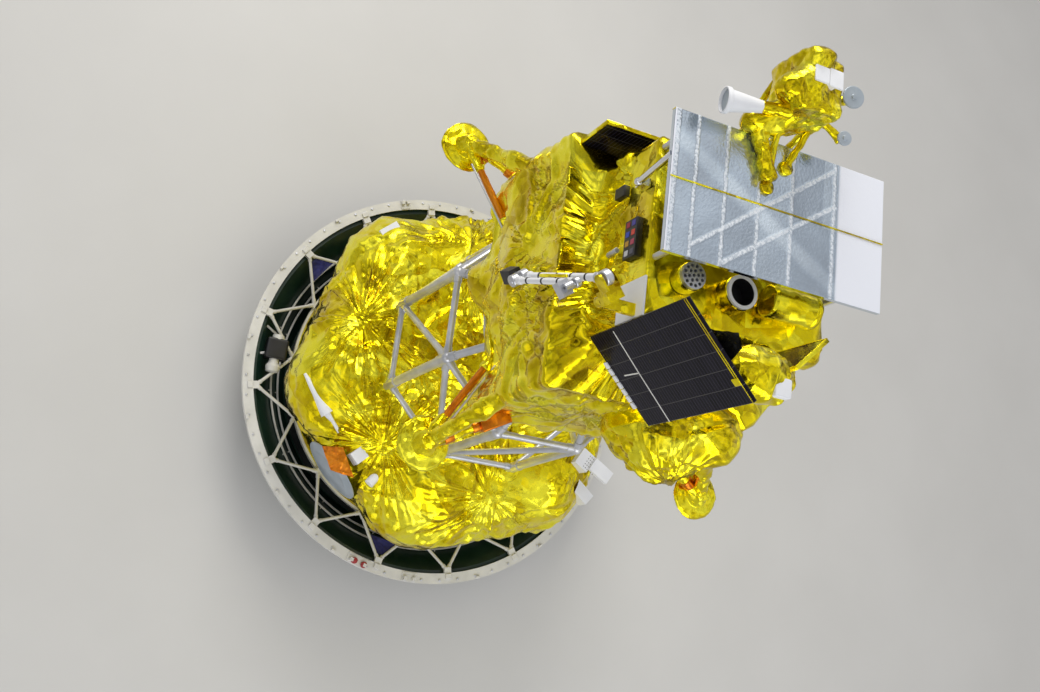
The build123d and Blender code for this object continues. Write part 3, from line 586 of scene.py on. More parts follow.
def panes_material(name):
    """Silvered panes: tone, seam and white tape come from the piece's own colour attribute."""
    material, tree, surface = shader(name, (0.6, 0.66, 0.74), 0.8, 0.15)
    link = tree.links.new
    marks = node(tree, "ShaderNodeAttribute", attribute_name="marks")
    parts = node(tree, "ShaderNodeSeparateColor")
    link(marks.outputs["Color"], parts.inputs[0])
    place = object_place(tree)
    drift = noise(tree, place, Scale=4.0, Detail=5.0)
    grain = noise(tree, place, Scale=55.0, Detail=3.0)
    tone = spread(
        tree, parts.outputs[0],
        [(0.0, (0.40, 0.45, 0.51)), (0.5, (0.55, 0.64, 0.73)), (1.0, (0.78, 0.88, 0.96))],
    )
    cloudy = spread(tree, drift.outputs["Fac"], [(0.3, grey(0.82)), (0.7, grey(1.0))])
    blend = blended(tree, 1.0, tone, cloudy, blend_type="MULTIPLY")
    speckled = spread(tree, grain.outputs["Fac"], [(0.42, grey(0.35)), (0.58, grey(1.0))])
    broken = worked(tree, "Math", "MULTIPLY", parts.outputs[1], speckled)
    seamed = blended(tree, broken, blend, (0.80, 0.84, 0.88, 1))
    taped = blended(tree, parts.outputs[2], seamed, (0.80, 0.82, 0.88, 1))
    link(taped, surface.inputs["Base Color"])
    shine = worked(tree, "Math", "MAXIMUM", broken, parts.outputs[2])
    link(spread(tree, shine, [(0.0, grey(0.85)), (1.0, grey(0.05))]), surface.inputs["Metallic"])
    link(spread(tree, shine, [(0.0, grey(0.16)), (1.0, grey(0.5))]), surface.inputs["Roughness"])
    bumped(tree, surface, grain.outputs["Fac"], 0.35, 0.004)
    return material


# Dark, middle and light gold of the film's colour ramp: the dark and light ends carry random tone and also the painted
# shade and painted reflection of tilted facets
GOLD_TONES_AND_FACET_LIGHT = ((0.56, 0.41, 0.003), (0.88, 0.72, 0.006), (0.97, 0.89, 0.040))
gold_film = film("gold film", GOLD_TONES_AND_FACET_LIGHT)
fine_gold_film = film("fine gold film", GOLD_TONES_AND_FACET_LIGHT, (0.15, 0.27), ((9.0, 0.22), (24.0, 0.14), (70.0, 0.05)))
orange_film = film(
    "orange film", ((0.42, 0.10, 0.003), (0.62, 0.18, 0.008), (0.74, 0.26, 0.014)), (0.25, 0.4),
    ((16.0, 0.16), (40.0, 0.10), (90.0, 0.06)), 0.2,
)
silver_film = film(
    "silver film", ((0.50, 0.56, 0.64), (0.62, 0.68, 0.75), (0.70, 0.75, 0.80)), (0.10, 0.2),
    ((6.0, 0.05), (18.0, 0.03), (60.0, 0.02)), 0.0,
)
black_film = film(
    "black film", ((0.004, 0.004, 0.004), (0.007, 0.007, 0.006), (0.012, 0.011, 0.010)), (0.25, 0.4),
    ((10.0, 0.3), (28.0, 0.15), (70.0, 0.1)), 0.1, 0.0,
)
pane_glass = panes_material("silvered panes")
white_paint = plain("white paint", ((0.62, 0.61, 0.57), (0.72, 0.71, 0.67)), 0.0, (0.35, 0.5))
white_ceramic = plain("white ceramic", ((0.74, 0.75, 0.77), (0.82, 0.83, 0.85)), 0.0, (0.5, 0.65))
bare_alloy = plain("bare alloy", ((0.50, 0.51, 0.54), (0.66, 0.67, 0.70)), 0.75, (0.30, 0.42))
polished_alloy = plain("polished alloy", ((0.70, 0.71, 0.74), (0.80, 0.81, 0.84)), 1.0, (0.06, 0.12))
green_paint = plain("green paint", ((0.004, 0.022, 0.014), (0.008, 0.034, 0.022)), 0.0, (0.3, 0.42))
# Near-black closing plate deep in the cone under the ring: its colour is painted shade, standing in for the dark
# inside of the stand
dark_membrane = plain("dark membrane", ((0.004, 0.007, 0.006), (0.008, 0.012, 0.010)), 0.0, (0.45, 0.6))
black_paint = plain("black paint", ((0.006, 0.006, 0.008), (0.014, 0.014, 0.017)), 0.0, (0.35, 0.5))
blue_cloth = plain(
    "blue cloth", ((0.008, 0.010, 0.085), (0.016, 0.018, 0.14)), 0.0, (0.6, 0.8), 12.0, 320.0, 0.0015
)
red_rubber = plain("red rubber", ((0.30, 0.020, 0.022), (0.38, 0.035, 0.035)), 0.0, (0.5, 0.65))
nozzle_alloy = plain("nozzle alloy", ((0.20, 0.17, 0.15), (0.30, 0.27, 0.25)), 0.9, (0.35, 0.5))
grey_metal = plain("grey metal", ((0.33, 0.38, 0.42), (0.44, 0.49, 0.54)), 0.3, (0.35, 0.5))
cell_glass = cells_material("cell glass")
dark_frame = plain("dark frame", ((0.010, 0.010, 0.014), (0.020, 0.020, 0.026)), 0.1, (0.3, 0.4))
target_colours = [
    plain(f"target colour {index}", (tuple(0.8 * c for c in colour), colour), 0.0, (0.5, 0.6))
    for index, colour in enumerate([
        (0.34, 0.03, 0.05), (0.03, 0.07, 0.50), (0.55, 0.30, 0.03), (0.62, 0.62, 0.64),
        (0.07, 0.06, 0.34), (0.70, 0.07, 0.05), (0.48, 0.06, 0.12), (0.10, 0.10, 0.14),
    ])
]

SLOT_MATERIAL = {
    "gold_film": fine_gold_film,
    "orange_wrap": orange_film,
    "silver_film": silver_film,
    "white_paint": white_paint,
    "white_ceramic": white_ceramic,
    "bare_alloy": bare_alloy,
    "green_paint": green_paint,
    "dark_membrane": dark_membrane,
    "nozzle_alloy": nozzle_alloy,
    "solar_cell": dark_frame,
}
NODE_MATERIAL = {
    "mast_rod": polished_alloy,
    "disc_antenna": grey_metal,
    "sensor_discs": grey_metal,
    "arm_camera": black_paint,
    "arm_turret": fine_gold_film,
    "arm_scoop": bare_alloy,
    "adapter_ring": white_paint,
}
slot_of = {part["node"]: part["material_slot"] for part in frame["record"]["subparts"]}
for name, piece in nodes.items():
    dress(piece, NODE_MATERIAL.get(name, SLOT_MATERIAL[slot_of[name]]))


def gold_piece(name, patches, *replaces):
    """Piece of fine gold film on the stack."""
    return surface(name, patches, "stack", "gold_film", fine_gold_film, replaces)


# ---------------------------------------------------------------- distances and casting


def merged(a, b, soft):
    """Smooth union of two distances: the smaller one, rounded where they are close."""
    share = np.clip(0.5 + 0.5 * (b - a) / soft, 0, 1)
    return b + (a - b) * share - soft * share * (1 - share)


def ball_distance(points, centre, radius):
    return np.linalg.norm(points - np.array(centre), axis=-1) - radius


def bar_distance(points, start, end, radius):
    """Distance to a round bar with round ends between two points."""
    start, way = np.array(start), np.array(end) - np.array(start)
    along = np.clip((points - start) @ way / (way @ way + 1e-9), 0, 1)
    return np.linalg.norm(points - start - along[..., None] * way, axis=-1) - radius


def stage_distance(points):
    """Distance to the stage: spheres in a ring, straight tubes between them, and the core."""
    spots = [TANK_PITCH * np.array([math.cos(t), math.sin(t), 0]) for t in np.arange(TANKS) * math.tau / TANKS]
    local = points - np.array([0, 0, STAGE_Z])
    whole = np.full(points.shape[:-1], 9.0)
    for index, spot in enumerate(spots):
        whole = merged(whole, np.linalg.norm(local - spot, axis=-1) - TANK_R, 0.04)
        whole = merged(whole, bar_distance(local, spots[index - 1], spot, WRAP_R), 0.04)
    radius = np.hypot(points[..., 0], points[..., 1])
    core = np.maximum(radius - CORE_R, points[..., 2] - CORE_TOP)
    return merged(whole, core, 0.16)


def rounded_plate(points, low, high, corner):
    """Distance in the U-V plane to a rectangle with rounded corners."""
    u = (points[..., 0] + points[..., 1]) * DIAG - (low[0] + high[0]) / 2
    v = (points[..., 1] - points[..., 0]) * DIAG - (low[1] + high[1]) / 2
    du = np.abs(u) - (high[0] - low[0]) / 2 + corner
    dv = np.abs(v) - (high[1] - low[1]) / 2 + corner
    outside = np.hypot(np.maximum(du, 0), np.maximum(dv, 0))
    return outside + np.minimum(np.maximum(du, dv), 0) - corner


def body_distance(points):
    """Distance to the lander's body: bay from circle to square, square body less a corner,
    upper box, and the film that hangs under the bay."""
    z = points[..., 2]
    share = np.clip((z - BAY_FOOT_Z) / (BODY_FOOT_Z - BAY_FOOT_Z), 0, 1)
    circle = np.hypot(points[..., 0], points[..., 1]) - BAY_FOOT_R
    square = rounded_plate(points, (-BODY_HALF, -BODY_HALF), (BODY_HALF, BODY_HALF), BODY_CORNER)
    lower = np.maximum(circle * (1 - share) + square * share, np.maximum(BAY_FOOT_Z - z, z - BODY_TOP_Z))
    lower = np.maximum(lower, (points - np.array(CUT_AT)) @ np.array(CUT_FACING))
    lower = merged(lower, ball_distance(points, polar(0.72, 32, 3.64), 0.20), 0.12)
    lower = merged(lower, bar_distance(points, uv(-0.25, 0.66, 3.84), uv(0.42, 0.66, 3.84), 0.17), 0.10)
    upper = rounded_plate(points, (UPPER_U[0], UPPER_V[0]), (UPPER_U[1], UPPER_V[1]), 0.05)
    upper = np.maximum(upper, np.maximum(z - UPPER_TOP_Z, BODY_TOP_Z - 0.3 - z))
    return merged(lower, upper, 0.12)


def cast(origins, ways, distance, far, steps=70):
    """Points where rays from outside first meet a shape, by steps of its distance."""
    travel = np.full(origins.shape[:-1], far)
    for _ in range(steps):
        travel = travel - 0.85 * distance(origins + ways * travel[..., None])
        travel = np.maximum(travel, 0.02)
    return origins + ways * travel[..., None]


def wrapped_rows(centre, axis, distance, far, rows=60, columns=72):
    """Grid over a lump, cast from its centre: latitude about an axis, then longitude."""
    axis = unit(axis)
    side, other = sides_of(axis)
    lift = np.radians(np.linspace(-88, 88, rows))[:, None, None]
    turn = (np.arange(columns) * math.tau / columns)[None, :, None]
    ways = np.cos(lift) * (np.cos(turn) * side + np.sin(turn) * other) + np.sin(lift) * axis
    return cast(np.array(centre) + 0 * ways, ways, distance, far)


# ---------------------------------------------------------------- stage and body films


def stage_rows(columns):
    """Grid over the stage: rays outward from a ring at each angle, then straight down from above."""
    round_the_ring = np.radians(np.linspace(-68, 90, 150))
    inward = np.linspace(1.0, 0.012, 71)[1:]
    ring_r = np.concatenate([np.full(150, 1.0), inward])
    lift = np.concatenate([round_the_ring, np.full(70, math.pi / 2)])
    azimuth = np.radians(np.arange(columns) * 360 / columns)
    out = np.stack([np.cos(azimuth), np.sin(azimuth), 0 * azimuth], -1)[None]
    origins = out * ring_r[:, None, None] + np.array([0, 0, STAGE_Z])
    ways = out * np.cos(lift)[:, None, None] + UP * np.sin(lift)[:, None, None]
    return cast(origins + 0 * ways, ways + 0 * origins, stage_distance, 0.95)


rows = stage_rows(780)
facing = normals_of(rows)
STAGE_STARS = [
    (polar(1.18, azimuth, 1.842), polar(0.35, azimuth, 1.0)) for azimuth in (37, 92, 147, 212, 268, 328)
]
# The film is drawn tight where instruments and truss feet stand on it
STAGE_HELD = [
    ((0.448, 1.381, 1.684), (0.844, 1.351, 1.684), 0.20), ((0, 1.40, 1.345), (0, 1.62, 1.345), 0.24),
    (
        polar(1.44, 90, 1.684), polar(1.44, 90, 1.684), 0.16
    ), (polar(1.545, -2, 1.69), polar(1.545, -2, 1.69), 0.18),
    (polar(1.64, -173, 1.684), polar(1.64, -173, 1.684), 0.18), (
        polar(1.376, -166, 1.83), polar(1.59, -165.5, 1.94), 0.16
    ),
    (polar(1.25, 100, 1.684), polar(1.463, 100, 1.684), 0.12),
]
STAGE_HELD += [
    (polar(0.945, 22.5 + 45 * index, 1.80), polar(0.945, 22.5 + 45 * index, 2.0), 0.13) for index in range(8)
]
lift = 0.050 * (creased(rows, 0.50, 3) - 0.42) + 0.040 * stars(rows, STAGE_STARS, 0.85, 11, 4)
lift += folds(rows, facing, 90, (0.09, 0.20), 0.22, 5, None, (3, 6))
lift += folds(rows, facing, 420, (0.030, 0.070), 0.30, 7, None, (5, 12))
lift = np.clip(lift, -0.030, 0.060)
held = near_lines(rows, STAGE_HELD)
rows = rows + facing * (lift * (1 - 0.85 * held) - 0.004 * held)[..., None]
surface("stage_side_film", [patch(rows[:122])], "stack", "gold_film", gold_film, ("stage_tanks", "stage_core"))
surface("stage_top_film", [patch(rows[121:], high=True)], "stack", "gold_film", gold_film)


def body_rows(columns):
    """Grid over the body: rays down and out from low on its axis, level rays at each height,
    then rays up and out from high on the axis."""
    below = np.radians(np.linspace(-89.3, 0, 34))
    above = np.radians(np.linspace(0, 89.3, 40))
    side_z = np.concatenate(
        [np.linspace(3.80, 4.93, 64)[1:], np.linspace(4.94, 5.10, 14), np.linspace(5.12, 5.46, 20)]
    )
    start_z = np.concatenate([np.full(34, 3.80), side_z, np.full(39, 5.46)])
    angle = np.concatenate([below, np.zeros(len(side_z)), above[1:]])
    azimuth = np.radians(np.arange(columns) * 360 / columns)
    out = np.stack([np.cos(azimuth), np.sin(azimuth), 0 * azimuth], -1)[None]
    origins = UP * start_z[:, None, None] + 0 * out
    ways = out * np.cos(angle)[:, None, None] + UP * np.sin(angle)[:, None, None]
    return cast(origins, ways, body_distance, 1.7)


rows = body_rows(540)
facing = normals_of(rows)
u = (rows[..., 0] + rows[..., 1]) * DIAG
v = (rows[..., 1] - rows[..., 0]) * DIAG
z = rows[..., 2]
BODY_STARS = [
    (uv(0.826, -0.20, 4.50), U_WAY), (uv(0.826, 0.35, 4.55), U_WAY), (uv(0.20, 0.826, 4.30), V_WAY),
    (uv(0.74, 0.20, 4.99), uv(0.4, 0, 1)), (uv(0.60, -0.35, 5.35), U_WAY), (uv(-0.826, 0, 4.5), -U_WAY),
    (uv(0, -0.826, 4.4), -V_WAY), (uv(0.15, 0.66, 4.99), uv(0, 0.4, 1)),
]
lift = 0.050 * (creased(rows, 0.46, 13, (1, 1, 0.6)) - 0.46) + 0.034 * stars(rows, BODY_STARS, 0.75, 10, 9)
lift += (
    folds(rows, facing, 90, (0.07, 0.18), 0.30, 15, V_WAY, (3, 7))
    + folds(rows, facing, 60, (0.07, 0.16), 0.28, 19, UP, (3, 6))
)
lift += folds(rows, facing, 380, (0.026, 0.060), 0.34, 17, None, (5, 12))
lift = np.clip(lift, -0.030, 0.045)
# Held back where plates, the shelf and the instruments' feet lie on it
flat = between(u, 0.50, 0.56) * between(z, 5.33, 5.38)
flat = np.maximum(flat, between(z, 5.60, 5.66))
lift = lift * (1 - 0.85 * flat) - 0.006 * flat
# Drawn in low on the +U face
drawn = between(u, 0.45, 0.70) * between(v, 0.02, 0.14) * (1 - between(v, 0.46, 0.62))
drawn = drawn * (1 - between(z, 3.95, 4.28)) * between(z, 3.60, 3.75)
lift = lift - 0.10 * drawn
rows = rows + facing * lift[..., None]
surface(
    "body_film", [patch(rows, low=True, high=True)], "stack", "gold_film", gold_film,
    ("lander_engine_bay", "lander_lower_body", "lander_upper_body"),
)


# ---------------------------------------------------------------- legs and feet


def turn_about_axis(points, quarter):
    """Points turned by quarters of a turn about the stack's axis."""
    x, y = points[..., 0], points[..., 1]
    for _ in range(quarter):
        x, y = -y, x
    return np.stack([x, y, points[..., 2]], -1)


def wrapped_bar(start, end, profile, amounts, salt, columns=28, step=0.014):
    """Crumpled film round a bar: profile is (radius, share of the length)."""
    start, end = np.array(start, float), np.array(end, float)
    long = np.linalg.norm(end - start)
    profile = finer([(radius, share * long) for radius, share in profile], step)
    return crumpled(turned_rows(start, end - start, profile, columns), amounts, salt)


LEG_PROFILE = [
    (0.010, 0), (0.050, 0.004), (0.058, 0.03), (0.058, 0.07), (0.049, 0.09), (0.054, 0.20), (0.052, 0.42),
    (0.061, 0.50), (0.068, 0.54), (0.068, 0.60), (0.062, 0.64), (0.065, 0.86), (0.070, 0.90), (0.070, 0.96),
    (0.062, 0.996), (0.010, 1),
]
BRACE_PROFILE = [
    (0.008, 0), (0.040, 0.006), (0.044, 0.10), (0.041, 0.30), (0.034, 0.34), (0.032, 0.97), (0.008, 1)
]
STUB_PROFILE = [(0.008, 0), (0.040, 0.02), (0.044, 0.35), (0.036, 0.85), (0.030, 0.97), (0.008, 1)]
ORANGE_PROFILE = [(0.006, 0), (0.025, 0.01), (0.027, 0.5), (0.025, 0.99), (0.006, 1)]
FOOT_PROFILE = [
    (0.012, 3.712), (0.090, 3.714), (0.150, 3.730), (0.180, 3.752), (0.188, 3.770), (0.172, 3.786), (0.130, 3.794),
    (0.100, 3.800), (0.084, 3.835), (0.062, 3.870), (0.052, 3.892), (0.012, 3.900),
]
leg_foot, leg_top = np.array(LEG_FOOT), np.array(LEG_TOP)
lock = leg_foot + LOCK_SHARE * (leg_top - leg_foot)
for quarter in range(4):
    number = quarter + 1
    salt = 40 + 17 * quarter
    inner = (1, -1)[quarter % 2]
    root_in, end_in = [np.array([x, inner * y, z]) for x, y, z in (BRACE_ROOT, BRACE_END)]
    root_out, end_out = [np.array([x, -inner * y, z]) for x, y, z in (BRACE_ROOT, BRACE_END)]
    gold = [
        wrapped_bar(leg_foot, leg_top, LEG_PROFILE, [(0.10, 0.020), (0.045, 0.008)], salt, 36),
        wrapped_bar(root_out, end_out, BRACE_PROFILE, [(0.08, 0.012), (0.04, 0.006)], salt + 1),
        wrapped_bar(
            root_in, root_in + 0.30 * (end_in - root_in), STUB_PROFILE, [(0.08, 0.012), (0.04, 0.006)], salt + 2
        ),
        wrapped_bar(end_in + 0.10 * (root_in - end_in), end_in, STUB_PROFILE, [(0.06, 0.010)], salt + 3),
        wrapped_bar(lock, lock - np.array([0.34, 0, 0.02]), ORANGE_PROFILE, [(0.06, 0.006)], salt + 4, 20),
    ]
    gold = [closed(turn_about_axis(rows, quarter)) for rows in gold]
    gold_piece(f"leg_{number}_film", gold, f"leg_{number}")
    way = unit(root_out - end_out)
    cuffs = [
        wrapped_bar(
            root_in + 0.27 * (end_in - root_in), end_in + 0.07 * (root_in - end_in), ORANGE_PROFILE,
            [(0.05, 0.004)], salt + 5, 20,
        ),
        turned_rows(
            root_out + 0.13 * (end_out - root_out), end_out - root_out,
            eased([(0.03, 0), (0.049, 0), (0.049, 0.07), (0.03, 0.07)], 0.006), 24,
        ),
        turned_rows(
            root_out + 0.44 * (end_out - root_out), end_out - root_out,
            eased([(0.02, 0), (0.043, 0), (0.043, 0.08), (0.02, 0.08)], 0.006), 24,
        ),
    ]
    cuffs = [closed(turn_about_axis(rows, quarter)) for rows in cuffs]
    side = np.cross(way, UP)
    points, quads, fans = block(
        end_out + 0.105 * way, side, np.cross(way, unit(side)), (0.116, 0.136, 0.216), 0.014, 0.008, 24
    )
    cuffs.append((turn_about_axis(points, quarter), quads, fans))
    surface(f"leg_{number}_orange_wrap", cuffs, "stack", "orange_wrap", orange_film)
    across = unit(np.cross(end_in - root_in, UP))
    thin = rod(
        root_in + 0.20 * (end_in - root_in) + 0.045 * across, end_in + 0.045 * across + 0.02 * UP, 0.008, 10
    )
    thin = (turn_about_axis(thin[0], quarter), thin[1], thin[2])
    surface(f"leg_{number}_thin_tube", [thin], "stack", "bare_alloy", bare_alloy)
    foot = turned_rows((FOOT_REACH, 0, 0), UP, finer(FOOT_PROFILE, 0.010), 72)
    foot = crumpled(foot, [(0.12, 0.016), (0.05, 0.006)], salt + 6, level=0.45)
    foot = closed(turn_about_axis(foot, quarter))
    gold_piece(f"foot_{number}_film", [foot], f"foot_{number}")


# ---------------------------------------------------------------- side tank, bag, can and sensor head


def side_tank_distance(points):
    """Distance to the wrapped tanks on the +V side: two balls and the slack film below them."""
    whole = ball_distance(points, uv(-0.20, 0.90, 4.74), 0.305)
    whole = merged(whole, ball_distance(points, uv(-0.45, 0.88, 4.86), 0.205), 0.10)
    return merged(whole, ball_distance(points, uv(-0.02, 0.86, 4.60), 0.20), 0.14)


rows = wrapped_rows(uv(-0.22, 0.90, 4.74), V_WAY, side_tank_distance, 0.9, 90, 140)
lift = 0.034 * (creased(rows, 0.26, 61) - 0.45) + 0.010 * (creased(rows, 0.11, 63) - 0.45)
lift += 0.020 * stars(rows, [(uv(-0.22, 1.20, 4.76), V_WAY)], 0.5, 10, 5)
facing = normals_of(rows)
lift += folds(rows, facing, 130, (0.018, 0.045), 0.40, 65, uv(1, 0, -0.5), (5, 12))
rows = rows + facing * lift[..., None]
surface("side_tank_film", [closed(rows)], "stack", "gold_film", gold_film, ("side_tank",))

BAG_AT = uv(0.060, 0.778, 5.985)
BAG_SHAPE = [
    (0.010, -0.220), (0.085, -0.200), (0.132, -0.125), (0.150, -0.020), (0.140, 0.090), (0.096, 0.180),
    (0.010, 0.215),
]
bag = crumpled(turned_rows(BAG_AT, U_WAY, finer(BAG_SHAPE, 0.008), 72), [(0.17, 0.036), (0.07, 0.010)], 71)
stalk = crumpled(
    turned_rows(
        BAG_AT, uv(0, -0.278, -0.365), finer([(0.01, 0), (0.035, 0.002), (0.030, 0.42), (0.01, 0.44)], 0.02), 24
    ),
    [(0.06, 0.010)], 73,
)
surface("bag_film", [closed(bag), closed(stalk)], "stack", "gold_film", gold_film, ("instrument_bag",))
plate_foot = uv(-0.020, 0.850, 6.070)
plate = block(plate_foot, U_WAY, V_WAY, (0.105, 0.105, 0.050), 0.012, 0.006, 24)
surface("bag_plate", [plate], "stack", "white_ceramic", white_ceramic)

can_z = 5.786
can = turned_rows(uv(-0.130, 0.262, can_z), -U_WAY, finer([
    (0.010, 0), (0.090, 0.001), (0.098, 0.02), (0.099, 0.29), (0.104, 0.30), (0.105, 0.321), (0.092, 0.324),
    (0.090, 0.310), (0.010, 0.308),
], 0.012), 56)
can = crumpled(can, [(0.12, 0.005), (0.05, 0.002)], 81)
saddle = block(uv(-0.280, 0.262, 5.672), U_WAY, V_WAY, (0.220, 0.100, 0.048), 0.01, 0.006)
surface("can_film", [closed(can), saddle], "stack", "gold_film", gold_film, ("instrument_can",))
slot = turned_patch(
    uv(-0.4445, 0.262, can_z), -U_WAY, [(0.01, 0), (0.088, 0), (0.088, 0.008), (0.01, 0.008)], 40
)
surface("can_mouth", [slot], "stack", "dark_membrane", black_paint)


def head_distance(points):
    """Distance to the sensor box under loose film: a box, a crown on it and folds beside it."""
    u = (points[..., 0] + points[..., 1]) * DIAG + 0.035
    v = (points[..., 1] - points[..., 0]) * DIAG + 0.850
    z = points[..., 2] - 6.150
    gaps = np.stack([np.abs(u) - 0.115, np.abs(v) - 0.145, np.abs(z) - 0.125], -1)
    box = np.linalg.norm(np.maximum(gaps, 0), axis=-1) + np.minimum(gaps.max(-1), 0) - 0.030
    crown = bar_distance(points, uv(0.06, -0.97, 6.33), uv(-0.02, -0.99, 6.33), 0.050)
    whole = merged(box, crown, 0.05)
    whole = merged(whole, bar_distance(points, uv(0.02, -0.84, 6.27), uv(0.14, -0.80, 6.22), 0.075), 0.07)
    return merged(whole, bar_distance(points, uv(0.0, -0.72, 6.05), uv(0.20, -0.66, 6.02), 0.085), 0.07)


rows = wrapped_rows(uv(-0.02, -0.84, 6.16), UP, head_distance, 0.6, 100, 150)
lift = 0.034 * (creased(rows, 0.14, 91) - 0.42) + 0.014 * (creased(rows, 0.06, 93) - 0.45)
rows = rows + normals_of(rows) * lift[..., None]
gold_piece("sensor_box_film", [closed(rows)], "sensor_box")
plates = [
    block(uv(0.020, -0.860, 6.345), U_WAY, V_WAY, (0.095, 0.095, 0.012), 0.008, 0.003),
    block(uv(-0.085, -0.870, 6.335), U_WAY, V_WAY, (0.095, 0.110, 0.012), 0.008, 0.003),
    block(uv(-0.030, -0.865, 6.285), U_WAY, V_WAY, (0.14, 0.09, 0.056), 0.02, 0.006),
]
surface("sensor_box_plates", plates, "stack", "white_ceramic", white_ceramic)

# Baffle: a gold neck, a white cone and a rim round a dark mouth
baffle_at = uv(0.11, -0.69, 6.16)
baffle_way = uv(1, 0.05, -0.20)
neck = wrapped_bar(
    baffle_at - 0.04 * unit(baffle_way), baffle_at + 0.14 * unit(baffle_way),
    [(0.010, 0), (0.036, 0.02), (0.034, 0.98), (0.010, 1)], [(0.05, 0.008)], 107, 28, 0.01,
)
gold_piece("sensor_baffle_neck", [closed(neck)])
cone = [
    (0.004, 0.128), (0.034, 0.130), (0.036, 0.150), (0.062, 0.325), (0.062, 0.333), (0.073, 0.335),
    (0.074, 0.362), (0.066, 0.365), (0.064, 0.345), (0.004, 0.343),
]
cone = turned_patch(baffle_at, baffle_way, cone, 40, 0.003)
surface("sensor_baffle_cone", [cone], "stack", "white_ceramic", white_ceramic, ("sensor_baffle",))
mouth = [(0.004, 0.3435), (0.0625, 0.3435), (0.0625, 0.348), (0.004, 0.348)]
mouth = turned_patch(baffle_at, baffle_way, mouth, 32, 0.001)
surface("sensor_baffle_mouth", [mouth], "stack", "dark_membrane", grey_metal)
HOLDER_END = uv(-0.12, -0.84, 6.06)
HOLDER_PROFILE = [(0.008, 0), (0.030, 0.03), (0.022, 0.3), (0.028, 0.9), (0.008, 1)]
discs = []
holders = []
for at, size in ((uv(-0.337, -0.913, 6.200), 0.066), (uv(-0.337, -0.679, 6.140), 0.043)):
    face = np.array([0.05, 0.25, 1.0])
    profile = [
        (0.003, -0.016), (size - 0.004, -0.016), (size, -0.012), (size, -0.002), (size - 0.006, 0),
        (0.016, 0.001), (0.014, 0.010), (0.003, 0.010),
    ]
    discs.append(turned_patch(at, face, profile, 44, 0.0015))
    back = at - 0.042 * unit(face)
    holders.append(closed(wrapped_bar(back, HOLDER_END, HOLDER_PROFILE, [(0.05, 0.012)], 103, 22, 0.01)))
surface("sensor_disc_faces", discs, "stack", "bare_alloy", grey_metal, ("sensor_discs",))
gold_piece("sensor_disc_holders", holders)

STAY_PROFILE = [(0.010, 0), (0.030, 0.01), (0.022, 0.20), (0.018, 0.9), (0.010, 1)]
PAD_PROFILE = [(0.006, 0), (0.044, 0.001), (0.042, 0.022), (0.006, 0.034)]
BRIDGE_PROFILE = [(0.010, 0), (0.045, 0.03), (0.040, 0.4), (0.048, 0.9), (0.010, 1)]
THIN_STAY_PROFILE = [(0.006, 0), (0.022, 0.01), (0.021, 0.99), (0.006, 1)]
stays = []
for foot_u, foot_v, head_u, head_v in ((0.058, -0.315, 0.060, -0.700), (-0.066, -0.469, -0.150, -0.700)):
    foot, head = uv(foot_u, foot_v, 5.962), uv(head_u, head_v, 6.060)
    stays.append(wrapped_bar(foot, head, STAY_PROFILE, [(0.05, 0.010)], 95, 20))
    pad = turned_rows(foot - 0.004 * UP, UP, finer(PAD_PROFILE, 0.01), 24)
    stays.append(crumpled(pad, [(0.05, 0.010)], 97))
foot, head = uv(0.17, -0.62, 6.02), uv(0.06, -0.33, 5.985)
stays.append(wrapped_bar(foot, head, BRIDGE_PROFILE, [(0.07, 0.022), (0.035, 0.010)], 99, 28, 0.010))
stays = [closed(rows) for rows in stays]
gold_piece("sensor_frame_film", stays, "sensor_frame")
stays = []
for u_at in (-0.150, 0.070):
    for low_z, high_v in ((5.450, -0.980), (5.640, -0.720)):
        foot, head = uv(u_at, -0.580, low_z), uv(u_at, high_v, 6.040)
        stays.append(wrapped_bar(foot, head, THIN_STAY_PROFILE, [(0.05, 0.007)], 101, 18, 0.02))
stays = [closed(rows) for rows in stays]
gold_piece("sensor_stays_film", stays, "sensor_stays")


# ---------------------------------------------------------------- radiator


def radiator_rows(columns, count):
    """Grid over the radiator's upper face: rows along V, columns along U."""
    across = np.linspace(RAD_U[0] + 0.001, RAD_U[1] - 0.001, columns)
    along = np.linspace(RAD_V[0] + 0.001, RAD_V[1] - 0.001, count)
    return np.meshgrid(across, along)


u, v = radiator_rows(290, 164)
ragged = 0.010 * (creased(np.stack([u, v, 0 * u], -1), 0.05, 111) - 0.5)
SEAM_U = (-0.430, -0.130, 0.102, 0.328, 0.527)
# Slanting seams. Columns: u and v where each starts, u and v where it ends
SLANTS = [(0.52, 0.150, -0.43, -0.565), (0.33, 0.210, -0.44, -0.340)]
seam = np.zeros_like(u)
for at in SEAM_U:
    seam = np.maximum(seam, 1 - between(np.abs(u - at + ragged), 0.004, 0.016))
for start_u, start_v, end_u, end_v in SLANTS:
    flat = np.stack([u, v], -1)
    start, way = np.array([start_u, start_v]), np.array([end_u - start_u, end_v - start_v])
    share = np.clip((flat - start) @ way / (way @ way), 0, 1)
    gap = np.linalg.norm(flat - start - share[..., None] * way, axis=-1)
    seam = np.maximum(seam, 1 - between(gap + ragged, 0.004, 0.016))
pane = np.floor((u + 0.8) / 0.225) * 7 + np.floor((v + 0.61) / 0.42) * 3
pane_tone = scattered(np.stack([pane, 0 * pane, 0 * pane], -1), 5)[..., 0]
cloud = creased(np.stack([u, v, 0 * u], -1), 0.35, 113)
band = np.abs((v + 0.03) + 0.55 * (u + 0.12)) + 0.3 * np.abs(ragged)
tone = np.clip(0.15 + 0.35 * pane_tone + 0.45 * cloud + 0.4 * (1 - between(band, 0.02, 0.09)), 0, 1)
tape = np.maximum(1 - between(u, -0.475, -0.455), between(u, 0.668, 0.676))
seam = np.maximum(seam, 0.8 * between(u, 0.640, 0.650) * (1 - between(u, 0.668, 0.676)))
